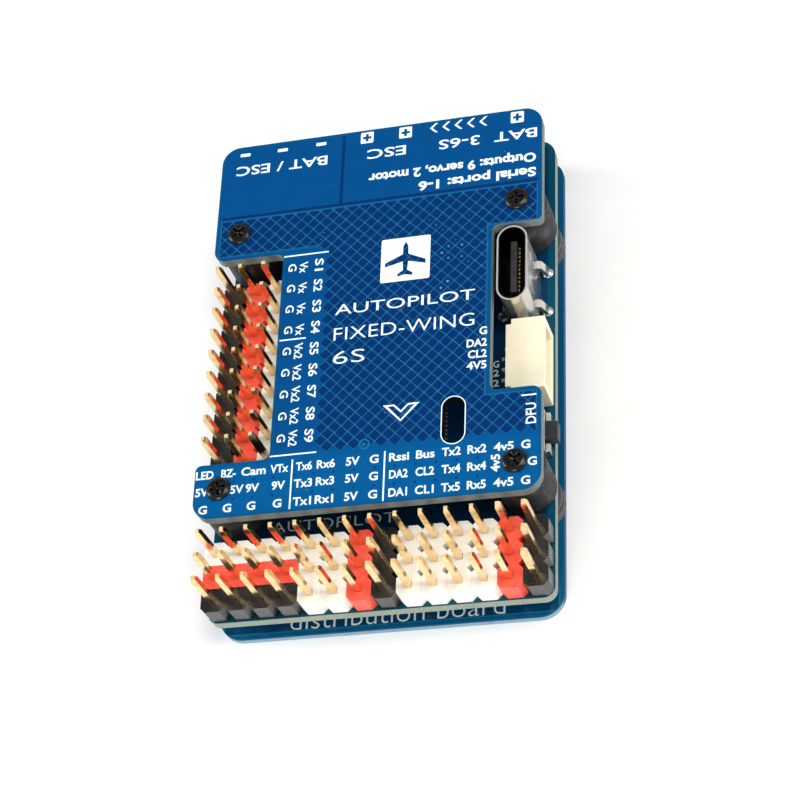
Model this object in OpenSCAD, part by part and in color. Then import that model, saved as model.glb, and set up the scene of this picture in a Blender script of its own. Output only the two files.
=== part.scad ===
// Stacked fixed-wing flight controller board.
// Three circuit boards on rubber spacers: a power board at the bottom, the controller board
// with its pin headers in the middle, and a printed label plate on top.
// Frame: +X towards the USB port side, +Y towards the battery end, +Z up.
// Origin: centre of the mounting hole pattern, on the underside of the power board. Millimetres.

/* [Boards] */
// Width of the controller board and the label plate
board_w = 35.8; // [35.4:0.1:36.4]
// Length of the controller board
board_l = 54; // [53.6:0.1:54.6]
// Thickness of the controller board
board_t = 1.2; // [1.0:0.1:1.6]
// Width of the power board
power_w = 36.0; // [35.9:0.1:36.8]
// How far the power board reaches past the controller board at the header end
power_lip = 0.3; // [0.2:0.1:1]
// Thickness of the power board
power_t = 1.0; // [0.8:0.1:1.6]
// Thickness of the label plate
plate_t = 1.2; // [0.8:0.1:1.2]
// Corner radius of the boards
corner_r = 2; // [1:0.1:2.4]

/* [Stack] */
// Side of the square mounting hole pattern
hole_pitch = 30.5; // [30.5:0.1:30.5]
// Diameter of the board holes that the grommets sit in
board_hole_d = 4; // [4:0.1:4.2]
// Bore of the rubber grommets, for an M3 screw
grommet_bore_d = 3; // [3:0.1:3.2]
// Gap between the power board and the controller board
lower_gap = 2.55; // [2.4:0.05:3]
// Gap between the controller board and the label plate
upper_gap = 5.35; // [5:0.05:6]
// Diameter of the upper rubber spacers
upper_spacer_d = 5.8; // [5.2:0.1:6]
// Diameter of the lower rubber spacers
lower_spacer_d = 6; // [5.4:0.1:6]

/* [Label plate] */
// Length of the label plate's front edge offset from the controller board's front edge
plate_setback = 8.5; // [8.2:0.1:9]
// Width of the notch that the servo headers stand in
notch_w = 7.85; // [7.6:0.05:8]
// Width of the cut-out over the USB port and the side connector
cutout_w = 5.25; // [5:0.05:5.4]
// Length of the obround window over the processor
window_l = 5.2; // [4:0.1:6]
// Width of the obround window over the processor
window_w = 2.3; // [1.6:0.1:2.4]

/* [Pin headers] */
// Pitch of the pin headers
pitch = 2.54; // [2.54:0.01:2.54]
// Height of a header's plastic strip
strip_h = 2.54; // [2.3:0.02:2.6]
// Side of a square pin
pin_w = 0.64; // [0.6:0.01:0.66]
// Height of the pin tips above the plastic
pin_up = 5.73; // [5:0.01:6.2]
// Length of the pin tails below the controller board
pin_down = 1.2; // [0.8:0.1:1.6]

/* [USB port] */
// Long side of the USB shell
usb_l = 8.94; // [8.9:0.01:9]
// Short side of the USB shell
usb_w = 3.2; // [3.16:0.01:3.26]
// Height of the USB shell above the board
usb_h = 6.5; // [6:0.1:6.8]

/* [Side connector] */
// Length of the four-way connector along the board edge
side_l = 8.25; // [8:0.05:8.4]
// Depth of the four-way connector
side_d = 4.05; // [3.9:0.05:4.2]
// Height of the four-way connector
side_h = 4.25; // [4:0.05:4.4]

/* [Boot switch] */
// Travel of the boot button
button_travel = 0.25; // [0.15:0.05:0.3]
// Width of the boot button along the board edge
button_w = 2; // [1.6:0.1:2.2]

/* [Hidden] */
$fn = 48;
eps = 0.01;

// Heights of the stack
board_z0 = power_t + lower_gap;
board_z = board_z0 + board_t;
plate_z0 = board_z + upper_gap;
plate_z = plate_z0 + plate_t;
strip_z = board_z + strip_h;
pin_top = strip_z + pin_up;
pin_bottom = board_z0 - pin_down;

// Board edges
half_w = board_w / 2;
half_l = board_l / 2;
half_power = power_w / 2;
power_corner_r = 2.5;
front_corner_r = 1.2;
rear_y = half_l - 0.3;
hole_c = hole_pitch / 2;
hole_spots = [for (x = [-1, 1], y = [-1, 1]) [x * hole_c, y * hole_c]];
slip = 0.03;

// Label plate outline
plate_front = -half_l + plate_setback;
notch_x = -half_w + notch_w;
notch_front = -12.4;
notch_rear = 12.05;
cutout_x = half_w - cutout_w;
cutout_front = -7.1;
cutout_rear = 12.45;
inner_r = 0.8;
window_at = [9.0, -10.05];

// Screws, spacers and grommets
screw_head_d = 2.6;
screw_head_h = 0.45;
screw_d = 1.56;
screw_len = 4;
screw_hole_d = 1.8;
grommet_top = board_z + 2;

// Header blocks
pin_hole_w = pin_w + 0.02;
cell_w = pitch - 0.02;
cell_cut = 0.5;
pin_tip = 0.5;
front_cols = 14;
aux_cols = 4;
front_x = -(front_cols - 1) / 2 * pitch;
front_y = -half_l + 0.15 + pitch / 2;
servo_rows = 9;
servo_x = -16.75;
servo_y = -(servo_rows - 1) / 2 * pitch;

// USB port
usb_at = [14.75, 7.6];
usb_wall = 0.28;
usb_floor = 1.6;
usb_tab_y = [-2.35, 2.35];
usb_ways = 12;

// Side connector
side_front = -6;
side_x1 = 17.7;
side_ways = 4;
side_pitch = 1.25;
side_y = side_front + side_l / 2;

// Boot switch
switch_y = -9.6;
switch_x1 = 17.2;
switch_d = 2.9;
switch_l = 4.3;
switch_h = 1.75;
switch_wall = 0.85;
switch_floor = 0.35;
button_out = 1.3;
button_lip = 0.4;
button_gap = 0.06;
button_flange_w = button_w + 0.6;

// ---- shared shapes ----

// Rectangle from corner a to corner b whose corners are rounded by r = [ll, lr, ur, ul]
module round_rect(a, b, r) {
    corners = [[a[0], a[1], 1, 1], [b[0], a[1], -1, 1], [b[0], b[1], -1, -1], [a[0], b[1], 1, -1]];
    difference() {
        translate(a) square([b[0] - a[0], b[1] - a[1]]);
        for (i = [0 : 3]) if (r[i] > 0) {
            c = corners[i];
            translate([c[0], c[1]]) scale_quadrant(c[2], c[3]) corner_waste(r[i]);
        }
    }
}

// Mirrors its child from the first quadrant into the one that points along sx, sy
module scale_quadrant(sx, sy) {
    mirror([sx < 0 ? 1 : 0, 0]) mirror([0, sy < 0 ? 1 : 0]) children();
}

// What a corner of radius r loses, at the origin, for a corner that opens along +X +Y
module corner_waste(r) {
    difference() {
        translate([-eps, -eps]) square(r + eps);
        translate([r, r]) circle(r);
    }
}

module obround(l, w) {
    square([w, l - w], center = true);
    for (s = [-1, 1]) translate([0, s * (l - w) / 2]) circle(d = w);
}

module at_holes() {
    for (p = hole_spots) translate(p) children();
}

module block(size, at) {
    translate([at[0] - size[0] / 2, at[1] - size[1] / 2, at[2]]) cube(size);
}

// Profile of a square pin with a pointed end, z along the pin
module pin_profile(z0, z1, w, tip) {
    n = w * 0.3;
    polygon([[-n, z0], [n, z0], [w / 2, z0 + tip / 2], [w / 2, z1 - tip], [n, z1], [-n, z1],
             [-w / 2, z1 - tip], [-w / 2, z0 + tip / 2]]);
}

// Grid of pointed square pins: each is where a wall along X meets a wall along Y
module pin_grid(at, cols, rows) {
    span_x = cols * pitch;
    span_y = rows * pitch;
    translate([at[0], at[1], 0]) intersection() {
        for (i = [0 : cols - 1])
            translate([i * pitch, span_y - pitch / 2, 0]) rotate([90, 0, 0])
                linear_extrude(span_y) pin_profile(pin_bottom, pin_top, pin_w, pin_tip);
        for (j = [0 : rows - 1])
            translate([-pitch / 2, j * pitch, 0]) rotate([90, 0, 90])
                linear_extrude(span_x) pin_profile(pin_bottom, pin_top, pin_w, pin_tip);
    }
}

module pin_holes(at, cols, rows) {
    for (i = [0 : cols - 1], j = [0 : rows - 1])
        translate([at[0] + i * pitch, at[1] + j * pitch]) square(pin_hole_w, center = true);
}

// One cell of a header strip, seen from above; flat ends join it to its neighbours along dir
module strip_cell() {
    a = cell_w / 2;
    b = a - cell_cut;
    polygon([[-a, -b], [-b, -a], [b, -a], [a, -b], [a, b], [b, a], [-b, a], [-a, b]]);
}

// Plastic strip of n cells from the cell at spot, along X or along Y
module header_strip(at, cols, rows) {
    join = cell_w / 2 - cell_cut;
    translate([at[0], at[1], board_z]) linear_extrude(strip_h) difference() {
        union() {
            for (i = [0 : cols - 1], j = [0 : rows - 1])
                translate([i * pitch, j * pitch]) strip_cell();
            if (cols > 1) translate([0, -join]) square([(cols - 1) * pitch, 2 * join]);
            if (rows > 1) translate([-join, 0]) square([2 * join, (rows - 1) * pitch]);
        }
        pin_holes([0, 0], cols, rows);
    }
}

module servo_strip(col) { header_strip([servo_x + col * pitch, servo_y], 1, servo_rows); }
module aux_strip(row) { header_strip([front_x, front_y + row * pitch], aux_cols, 1); }
module front_strip(col) { header_strip([front_x + col * pitch, front_y], 1, 3); }

// Side view of a gull-wing lead of thickness t that leaves a chip at height h and reaches out by l
module lead_profile(l, h, t) {
    polygon([[0, h], [l * 0.3, h], [l * 0.5, t], [l, t], [l, 0], [l * 0.4, 0], [l * 0.22, h - t], [0, h - t]]);
}

// Row of n gull-wing leads along Y at +X, starting from the chip's side
module lead_row(n, step, w, l, h, t) {
    for (i = [0 : n - 1])
        translate([0, (i - (n - 1) / 2) * step + w / 2, 0]) rotate([90, 0, 0])
            linear_extrude(w) lead_profile(l, h, t);
}

// ---- boards ----

module power_board() {
    color("#0d4f8f") linear_extrude(power_t) difference() {
        round_rect([-half_power, -half_l - power_lip], [half_power, rear_y],
                   [power_corner_r, power_corner_r, corner_r, corner_r]);
        at_holes() circle(d = board_hole_d);
    }
}

module controller_board() {
    color("#0f4a7d") translate([0, 0, board_z0]) linear_extrude(board_t) difference() {
        round_rect([-half_w, -half_l], [half_w, half_l],
                   [front_corner_r, front_corner_r, corner_r, corner_r]);
        at_holes() circle(d = board_hole_d);
        pin_holes([front_x, front_y], front_cols, 3);
        pin_holes([servo_x, servo_y], 3, servo_rows);
    }
}

module label_plate() {
    color("#0a5096") translate([0, 0, plate_z0]) linear_extrude(plate_t) difference() {
        union() {
            round_rect([-half_w, notch_rear], [half_w, rear_y], [1.3, 0, corner_r, corner_r]);
            round_rect([-half_w, plate_front], [half_w, notch_front], [corner_r, corner_r, 0, 0.6]);
            translate([notch_x, notch_front - eps])
                square([cutout_x - notch_x, notch_rear - notch_front + 2 * eps]);
            round_rect([0, notch_front - eps], [half_w, cutout_front], [0, 0, 1, 0]);
            translate([notch_x, notch_rear]) scale_quadrant(-1, -1) corner_waste(inner_r);
            translate([notch_x, notch_front]) scale_quadrant(-1, 1) corner_waste(inner_r);
            translate([cutout_x, cutout_front]) corner_waste(inner_r);
        }
        round_rect([cutout_x, cutout_front], [half_w + 1, cutout_rear], [inner_r, 0, 0, inner_r]);
        translate([half_w, cutout_rear]) scale_quadrant(-1, 1) corner_waste(0.6);
        translate(window_at) obround(window_l, window_w);
        at_holes() circle(d = screw_hole_d);
    }
}

// ---- spacers and fixings ----

module plate_screws() {
    color("#151515") at_holes() difference() {
        union() {
            translate([0, 0, plate_z]) cylinder(d = screw_head_d, h = screw_head_h);
            translate([0, 0, plate_z - screw_len]) cylinder(d = screw_d, h = screw_len);
        }
        for (a = [0, 90]) rotate(a) block([0.42, 1.5, 1], [0, 0, plate_z + screw_head_h - 0.35]);
    }
}

module upper_spacers() {
    color("#3b3b3c") at_holes() difference() {
        translate([0, 0, board_z]) cylinder(d = upper_spacer_d, h = upper_gap);
        translate([0, 0, board_z - 1]) cylinder(d = board_hole_d, h = grommet_top - board_z + 1);
        translate([0, 0, board_z]) cylinder(d = screw_d + 2 * slip, h = upper_gap + 1);
    }
}

module lower_spacers() {
    groove_z = 1.15;
    color("#6d6e70") at_holes() translate([0, 0, power_t]) difference() {
        union() {
            cylinder(d = lower_spacer_d, h = groove_z);
            cylinder(d = lower_spacer_d - 0.7, h = 2);
            translate([0, 0, groove_z + 0.15]) cylinder(d = lower_spacer_d - 0.2, h = 0.7);
        }
        translate([0, 0, -1]) cylinder(d = board_hole_d, h = 5);
    }
}

module spacer_washers() {
    color("#1f1f20") at_holes() translate([0, 0, power_t + 2]) difference() {
        cylinder(d = lower_spacer_d - 1, h = lower_gap - 2);
        translate([0, 0, -1]) cylinder(d = board_hole_d, h = 3);
    }
}

module mounting_grommets() {
    color("#2c2c2e") at_holes() difference() {
        cylinder(d = board_hole_d - 2 * slip, h = grommet_top);
        translate([0, 0, -1]) cylinder(d = grommet_bore_d, h = grommet_top + 2);
    }
}

// ---- pin headers ----

module servo_ground_strip() { color("#222222") servo_strip(0); }
module servo_power_strip() { color("#e03028") servo_strip(1); }
module servo_signal_strip() { color("#f4f1ea") servo_strip(2); }
module servo_header_pins() { color("#d8b765") pin_grid([servo_x, servo_y], 3, servo_rows); }

module aux_ground_strip() { color("#222222") aux_strip(0); }
module aux_power_strip() { color("#e03028") aux_strip(1); }
module aux_signal_strip() { color("#f4f1ea") aux_strip(2); }
module aux_header_pins() { color("#d8b765") pin_grid([front_x, front_y], aux_cols, 3); }

module uart_tx_strip() { color("#f4f1ea") front_strip(4); }
module uart_rx_strip() { color("#f4f1ea") front_strip(5); }
module uart_power_strip() { color("#e03028") front_strip(6); }
module uart_ground_strip() { color("#222222") front_strip(7); }
module uart_header_pins() { color("#d8b765") pin_grid([front_x + 4 * pitch, front_y], 4, 3); }

module signal_strip_1() { color("#f4f1ea") front_strip(8); }
module signal_strip_2() { color("#f4f1ea") front_strip(9); }
module signal_strip_3() { color("#f4f1ea") front_strip(10); }
module signal_strip_4() { color("#f4f1ea") front_strip(11); }
module signal_power_strip() { color("#e03028") front_strip(12); }
module signal_ground_strip() { color("#222222") front_strip(13); }
module signal_header_pins() { color("#d8b765") pin_grid([front_x + 8 * pitch, front_y], 6, 3); }

// ---- USB port ----

module at_usb() {
    translate([usb_at[0], usb_at[1], board_z]) children();
}

// Side view of a soldering tab: out from the shell, then down to the board
module usb_tab_profile() {
    polygon([[0, 1.9], [0.45, 1.75], [0.95, 0.35], [0.95, 0], [0.55, 0], [0.55, 0.35], [0.2, 1.35], [0, 1.4]]);
}

module usb_shell() {
    color("#cfcfd0") at_usb() {
        difference() {
            linear_extrude(usb_h) obround(usb_l, usb_w);
            translate([0, 0, -1]) linear_extrude(usb_h + 2)
                obround(usb_l - 2 * usb_wall, usb_w - 2 * usb_wall);
        }
        for (y = usb_tab_y, s = [0, 180])
            translate([0, y, 0]) rotate(s) translate([usb_w / 2 - eps, 0.45, 0]) rotate([90, 0, 0])
                linear_extrude(0.9) usb_tab_profile();
    }
}

module usb_base() {
    color("#1b1b1c") at_usb() linear_extrude(usb_floor)
        obround(usb_l - 2 * usb_wall - 0.02, usb_w - 2 * usb_wall - 0.02);
}

module usb_tongue() {
    color("#3a3a3c") at_usb() block([0.7, 6.2, usb_h - usb_floor - 0.8], [0, 0, usb_floor]);
}

module usb_contacts() {
    thick = 0.1;
    color("#c9a24a") at_usb() for (i = [0 : usb_ways - 1], s = [-1, 1])
        block([thick, 0.25, 3], [s * (0.35 + thick / 2), (i - (usb_ways - 1) / 2) * 0.5, usb_floor]);
}

// ---- four-way side connector ----

module side_connector_housing() {
    x0 = side_x1 - side_d;
    mouth_l = side_l - 1.5;
    color("#efe6cc") translate([0, 0, board_z]) difference() {
        union() {
            block([side_d - 0.55, side_l, side_h], [side_x1 - (side_d - 0.55) / 2, side_y, 0]);
            block([0.6, side_l - 1, side_h], [x0 + 0.3, side_y - 0.1, 0]);
        }
        block([3.1, mouth_l, side_h - 1.5], [side_x1 - 1.55 + eps, side_y, 0.75]);
        for (i = [0 : side_ways - 1])
            block([2, 0.42, 0.42], [x0 + 0.5, contact_y(i), 1.79]);
        for (s = [-1, 1]) block([1.6, 0.5, 2.4], [side_x1 - 1.9, side_y + s * side_l / 2, -eps]);
    }
}

function contact_y(i) = side_y + (i - (side_ways - 1) / 2) * side_pitch;

module side_connector_contacts() {
    x0 = side_x1 - side_d;
    color("#d8d2c4") translate([0, 0, board_z]) for (i = [0 : side_ways - 1]) {
        block([3.3, 0.4, 0.4], [x0 + 1.4, contact_y(i), 1.8]);
        block([0.3, 0.4, 2.2], [x0 - 0.4, contact_y(i), 0]);
        block([0.9, 0.4, 0.25], [x0 - 0.9, contact_y(i), 0]);
    }
}

module side_connector_tabs() {
    color("#d0cec8") translate([0, 0, board_z]) for (s = [-1, 1]) {
        block([1.5, 0.2, 2.2], [side_x1 - 1.9, side_y + s * (side_l / 2 - 0.12), 0]);
        block([1.5, 0.55, 0.2], [side_x1 - 1.9, side_y + s * (side_l / 2 + 0.26), 0]);
    }
}

// ---- boot switch ----

module boot_switch_base() {
    room_d = switch_d - switch_wall - button_lip;
    color("#26272a") translate([0, 0, board_z]) difference() {
        block([switch_d, switch_l, switch_h], [switch_x1 - switch_d / 2, switch_y, 0]);
        block([room_d, button_flange_w + 2 * button_gap, switch_h],
              [switch_x1 - button_lip - room_d / 2, switch_y, switch_floor]);
        block([2, button_w + 2 * button_gap, switch_h], [switch_x1, switch_y, switch_floor]);
    }
}

module boot_switch_cover() {
    sheet = 0.15;
    ear = 0.45;
    color("#c8c4b8") translate([0, 0, board_z]) {
        block([switch_d, switch_l, sheet], [switch_x1 - switch_d / 2, switch_y, switch_h]);
        for (s = [-1, 1]) {
            block([switch_d, sheet, switch_h + sheet],
                  [switch_x1 - switch_d / 2, switch_y + s * (switch_l + sheet) / 2, 0]);
            block([ear, 0.95, switch_h - 0.5], [switch_x1 + ear / 2, switch_y + s * (switch_l / 2 - 0.4), 0]);
        }
    }
}

// Push button with a wider flange inside that the base's lips hold back
module boot_button() {
    inside = button_lip + button_gap;
    h = switch_h - switch_floor - 2 * button_gap;
    color("#454a4e") translate([0, 0, board_z + switch_floor + button_gap]) {
        block([button_out + inside, button_w, h], [switch_x1 + (button_out - inside) / 2, switch_y, 0]);
        block([0.5, button_flange_w, h], [switch_x1 - inside - 0.25, switch_y, 0]);
    }
}

// ---- link between the two lower boards ----

link_at = [0, 17.5];
link_cols = 10;
link_pitch = 1.27;
link_pin_w = 0.4;

module link_grid(w) {
    for (i = [0 : link_cols - 1], j = [0, 1])
        translate([link_at[0] + (i - (link_cols - 1) / 2) * link_pitch, link_at[1] + (j - 0.5) * link_pitch])
            square(w, center = true);
}

module link_housing(z, h, w) {
    translate([0, 0, z]) linear_extrude(h) difference() {
        translate(link_at) square([link_cols * link_pitch, w], center = true);
        link_grid(link_pin_w + 0.02);
    }
}

module link_header() { color("#1c1c1c") link_housing(power_t, 1, 3); }
module link_socket() { color("#242424") link_housing(power_t + 1, lower_gap - 1, 2.8); }
module link_pins() {
    color("#d8b765") translate([0, 0, power_t]) linear_extrude(lower_gap) link_grid(link_pin_w);
}

// ---- electronics of the controller board ----

processor_at = [0.65, -6.3];
processor_w = 10;
display_at = [-1.5, 10.5];
display_size = [9.7, 4.4, 1];

// Chip body with its upper and lower halves drawn in, as a moulded body is
module moulded_body(size, at) {
    translate(at) difference() {
        block(size, [0, 0, 0]);
        for (s = [0, 180]) rotate(s)
            translate([size[0] / 2, size[1] / 2 + 1, size[2]]) rotate([90, 0, 0])
                linear_extrude(size[1] + 2) polygon([[-0.12, 0.01], [0.01, -size[2] * 0.4], [0.01, 0.01]]);
    }
}

module processor_body() {
    color("#1d1e20") moulded_body([processor_w, processor_w, 1.4], [processor_at[0], processor_at[1], board_z + 0.1]);
}

module processor_leads() {
    color("#cfcfcf") translate([processor_at[0], processor_at[1], board_z])
        for (a = [0 : 90 : 270]) rotate(a)
            translate([processor_w / 2, 0, 0]) lead_row(16, 0.5, 0.22, 1, 0.75, 0.12);
}

module display_chip() {
    color("#202124") moulded_body(display_size, [display_at[0], display_at[1], board_z + 0.1]);
}

module display_chip_leads() {
    color("#cfcfcf") translate([display_at[0], display_at[1], board_z])
        for (a = [90, 270]) rotate(a)
            translate([display_size[1] / 2, 0, 0]) lead_row(14, 0.65, 0.25, 1, 0.6, 0.12);
}

module motion_sensor() {
    color("#17181a") block([2.5, 3, 0.9], [9.5, 3.5, board_z]);
}

module pressure_sensor() {
    color("#b9bbbd") {
        block([2.5, 2, 0.3], [9.5, 11, board_z]);
        block([2.3, 1.8, 0.45], [9.5, 11, board_z + 0.3]);
    }
}

module clock_crystal() {
    color("#c7c7c4") {
        block([3.2, 2.5, 0.35], [-7.6, -2.2, board_z]);
        block([2.8, 2.1, 0.35], [-7.6, -2.2, board_z + 0.35]);
    }
}

module status_lights() {
    color("#dfe6d8") for (i = [0 : 2]) block([1.6, 0.8, 0.6], [8.5, 15 + i * 1.8, board_z]);
}

module bypass_capacitors() {
    color("#b79a6c") for (i = [0 : 4]) {
        block([1, 0.5, 0.5], [processor_at[0] - 4 + i * 2, 1.4, board_z]);
        block([1, 0.5, 0.5], [processor_at[0] - 4 + i * 2, -13.8, board_z]);
        block([0.5, 1, 0.5], [-6.6, -10.5 + i * 1.5, board_z]);
    }
}

// ---- electronics of the power board ----

module on_power() {
    translate([0, 0, power_t]) children();
}

module power_inductors() {
    color("#4a4a4c") on_power() for (y = [-14.5, -6.5, 1.5]) {
        block([4.4, 4.4, 0.3], [7, y, 0]);
        translate([7, y, 0.3]) cylinder(d = 4.2, h = 1.3);
    }
}

module regulator_chips() {
    color("#1d1e20") on_power() for (y = [-14.5, -6.5, 1.5]) block([3, 3, 0.9], [1.5, y, 0]);
}

module current_shunts() {
    color("#2b2b2d") on_power() for (y = [20.6, 24]) block([6.3, 3.1, 0.6], [9.05, y, 0]);
}

module power_capacitors() {
    color("#b79a6c") on_power() for (y = [-14.5, -6.5, 1.5], s = [-1, 1])
        block([2, 1.25, 1.2], [-3, y + s * 1.1, 0]);
}

// Solder pads for the battery and speed-controller leads: three negative, two output, one input
module battery_pads() {
    pad_x = [-15.3, -11, -6.6, -1.4, 2.9, 15.2];
    color("#c9ccc9") on_power() for (x = pad_x) block([3.6, 4.4, 0.1], [x, rear_y - 3, 0]);
}

power_board();
controller_board();
label_plate();
plate_screws();
upper_spacers();
lower_spacers();
spacer_washers();
mounting_grommets();
servo_ground_strip();
servo_power_strip();
servo_signal_strip();
servo_header_pins();
aux_ground_strip();
aux_power_strip();
aux_signal_strip();
aux_header_pins();
uart_tx_strip();
uart_rx_strip();
uart_power_strip();
uart_ground_strip();
uart_header_pins();
signal_strip_1();
signal_strip_2();
signal_strip_3();
signal_strip_4();
signal_power_strip();
signal_ground_strip();
signal_header_pins();
usb_shell();
usb_tongue();
usb_contacts();
usb_base();
side_connector_housing();
side_connector_contacts();
side_connector_tabs();
boot_switch_base();
boot_switch_cover();
boot_button();
link_header();
link_socket();
link_pins();
processor_body();
processor_leads();
display_chip();
display_chip_leads();
motion_sensor();
pressure_sensor();
clock_crystal();
status_lights();
bypass_capacitors();
power_inductors();
regulator_chips();
current_shunts();
power_capacitors();
battery_pads();
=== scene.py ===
"""Looks of a stacked flight controller board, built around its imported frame.

Sizes in the classes are millimetres and MM turns them into metres. +X points to the USB port
side, +Y to the battery end and +Z up; the origin is the middle of the mounting hole pattern, on
the underside of the power board.
"""

import logging
from dataclasses import dataclass, field
from enum import Enum
from math import cos, pi, radians, sin
from typing import Callable, Dict, List, Sequence, Tuple, Union

import bpy
from mathutils import Matrix, Vector


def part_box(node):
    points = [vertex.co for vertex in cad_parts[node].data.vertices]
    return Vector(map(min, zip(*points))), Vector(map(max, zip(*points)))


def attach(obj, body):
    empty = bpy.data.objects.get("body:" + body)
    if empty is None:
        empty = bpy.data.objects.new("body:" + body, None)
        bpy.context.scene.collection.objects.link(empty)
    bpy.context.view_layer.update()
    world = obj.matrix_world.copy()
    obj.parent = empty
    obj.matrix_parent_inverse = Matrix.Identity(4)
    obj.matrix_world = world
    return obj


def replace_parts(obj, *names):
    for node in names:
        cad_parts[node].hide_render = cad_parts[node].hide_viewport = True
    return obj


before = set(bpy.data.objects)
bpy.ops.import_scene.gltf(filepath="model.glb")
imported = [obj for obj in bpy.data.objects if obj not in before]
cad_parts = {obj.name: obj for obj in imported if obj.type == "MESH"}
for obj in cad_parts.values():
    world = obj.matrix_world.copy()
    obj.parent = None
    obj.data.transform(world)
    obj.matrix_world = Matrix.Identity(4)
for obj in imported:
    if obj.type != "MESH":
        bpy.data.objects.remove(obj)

MM = 0.001
PIN_PITCH = 2.54
HOLE_PITCH = 30.5
FIXED_BODY = "board_stack"
BUTTON_BODY = "boot_button"
LOG = logging.getLogger("flight_board")

Socket = bpy.types.NodeSocket
Object = bpy.types.Object
Material = bpy.types.Material
Feed = Union[float, Sequence[float], Socket]
Point = Tuple[float, float]
Outline = List[Point]


def tint(code: str) -> Tuple[float, float, float, float]:
    """Turns a colour such as "0b3c7e" into linear red, green, blue and alpha."""
    parts = [int(code[i : i + 2], 16) / 255 for i in (0, 2, 4)]
    linear = [p / 12.92 if p < 0.04045 else ((p + 0.055) / 1.055) ** 2.4 for p in parts]
    return (linear[0], linear[1], linear[2], 1.0)


# ---- shader graphs ----


class Graph:
    """Writes a node tree: each method adds nodes and returns the socket they end in."""

    def __init__(self, tree: bpy.types.NodeTree) -> None:
        """Starts from an empty tree."""
        self.tree = tree
        tree.nodes.clear()

    def add(self, kind: str, feeds: Dict[Union[int, str], Feed], out: int = 0, **options: object) -> Socket:
        """Adds one node.

        Args:
            kind: the node's type name.
            feeds: what goes into its sockets, by index or name: a value or another socket.
            out: index of the output to return.
            options: settings of the node itself.

        Returns:
            The chosen output socket.
        """
        node = self.tree.nodes.new(kind)
        for name, value in options.items():
            setattr(node, name, value)
        for key, value in feeds.items():
            self.feed(node.inputs[key], value)
        return node.outputs[out]

    def feed(self, socket: Socket, value: Feed) -> None:
        """Links a socket to another one, or gives it a value."""
        if isinstance(value, bpy.types.NodeSocket):
            self.tree.links.new(value, socket)
        else:
            socket.default_value = value

    def math(self, rule: str, a: Feed, b: Feed = 0.0, c: Feed = 0.0, clamp: bool = False) -> Socket:
        """Adds a Math node."""
        return self.add("ShaderNodeMath", {0: a, 1: b, 2: c}, operation=rule, use_clamp=clamp)

    def times(self, *values: Feed) -> Socket:
        """Multiplies numbers."""
        out = values[0]
        for value in values[1:]:
            out = self.math("MULTIPLY", out, value)
        return out

    def plus(self, a: Feed, b: Feed) -> Socket:
        """Adds two numbers."""
        return self.math("ADD", a, b)

    def minus(self, a: Feed, b: Feed) -> Socket:
        """Takes b from a."""
        return self.math("SUBTRACT", a, b)

    def most(self, a: Feed, b: Feed) -> Socket:
        """The larger number."""
        return self.math("MAXIMUM", a, b)

    def least(self, a: Feed, b: Feed) -> Socket:
        """The smaller number."""
        return self.math("MINIMUM", a, b)

    def above(self, a: Feed, b: Feed) -> Socket:
        """1 where a is above b."""
        return self.math("GREATER_THAN", a, b)

    def below(self, a: Feed, b: Feed) -> Socket:
        """1 where a is below b."""
        return self.math("LESS_THAN", a, b)

    def size(self, a: Feed) -> Socket:
        """The number without its sign."""
        return self.math("ABSOLUTE", a)

    def length(self, a: Feed) -> Socket:
        """The length of a vector."""
        return self.vector("LENGTH", a, out=1)

    def vector(self, rule: str, a: Feed, b: Feed = (0.0, 0.0, 0.0), out: int = 0) -> Socket:
        """Adds a Vector Math node."""
        return self.add("ShaderNodeVectorMath", {0: a, 1: b}, out, operation=rule)

    def scaled(self, a: Feed, factor: Feed) -> Socket:
        """Multiplies a vector by a number."""
        return self.add("ShaderNodeVectorMath", {0: a, "Scale": factor}, operation="SCALE")

    def parts(self, vector: Feed) -> Tuple[Socket, Socket, Socket]:
        """Splits a vector into X, Y and Z."""
        out = self.add("ShaderNodeSeparateXYZ", {0: vector})
        return tuple(out.node.outputs)

    def whole(self, x: Feed, y: Feed, z: Feed = 0.0) -> Socket:
        """Joins X, Y and Z into a vector."""
        return self.add("ShaderNodeCombineXYZ", {0: x, 1: y, 2: z})

    def noise(self, vector: Feed, scale: Feed, detail: float = 3.0, rough: float = 0.55) -> Socket:
        """Adds a Noise Texture and returns its value."""
        feeds = {"Vector": vector, "Scale": scale, "Detail": detail, "Roughness": rough}
        return self.add("ShaderNodeTexNoise", feeds)

    def smooth(self, value: Feed, low: Feed, high: Feed, to_low: Feed = 0.0, to_high: Feed = 1.0) -> Socket:
        """Maps low..high to to_low..to_high along a smooth step."""
        feeds = {0: value, 1: low, 2: high, 3: to_low, 4: to_high}
        return self.add("ShaderNodeMapRange", feeds, interpolation_type="SMOOTHSTEP", clamp=True)

    def fade(self, value: Feed, near: Feed, far: Feed) -> Socket:
        """1 up to near, falling to 0 at far."""
        return self.smooth(value, near, far, 1.0, 0.0)

    def line(self, value: Feed, middle: Feed, near: float, far: float) -> Socket:
        """1 within near of the middle, falling to 0 at far."""
        return self.fade(self.size(self.minus(value, middle)), near, far)

    def blend(self, share: Feed, a: Feed, b: Feed, rule: str = "MIX") -> Socket:
        """Mixes colour b over colour a."""
        return self.add("ShaderNodeMix", {0: share, 6: a, 7: b}, 2, data_type="RGBA", blend_type=rule)

    def shaded(self, colour: Feed, shade: Feed) -> Socket:
        """Multiplies a colour by a number."""
        grey = self.add("ShaderNodeCombineColor", {0: shade, 1: shade, 2: shade})
        return self.blend(1.0, colour, grey, "MULTIPLY")

    def scale_on(self, value: Feed, factor: Feed, start: Feed, clamp: bool = False) -> Socket:
        """The start plus a share of the value."""
        return self.math("MULTIPLY_ADD", value, factor, start, clamp)

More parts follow.
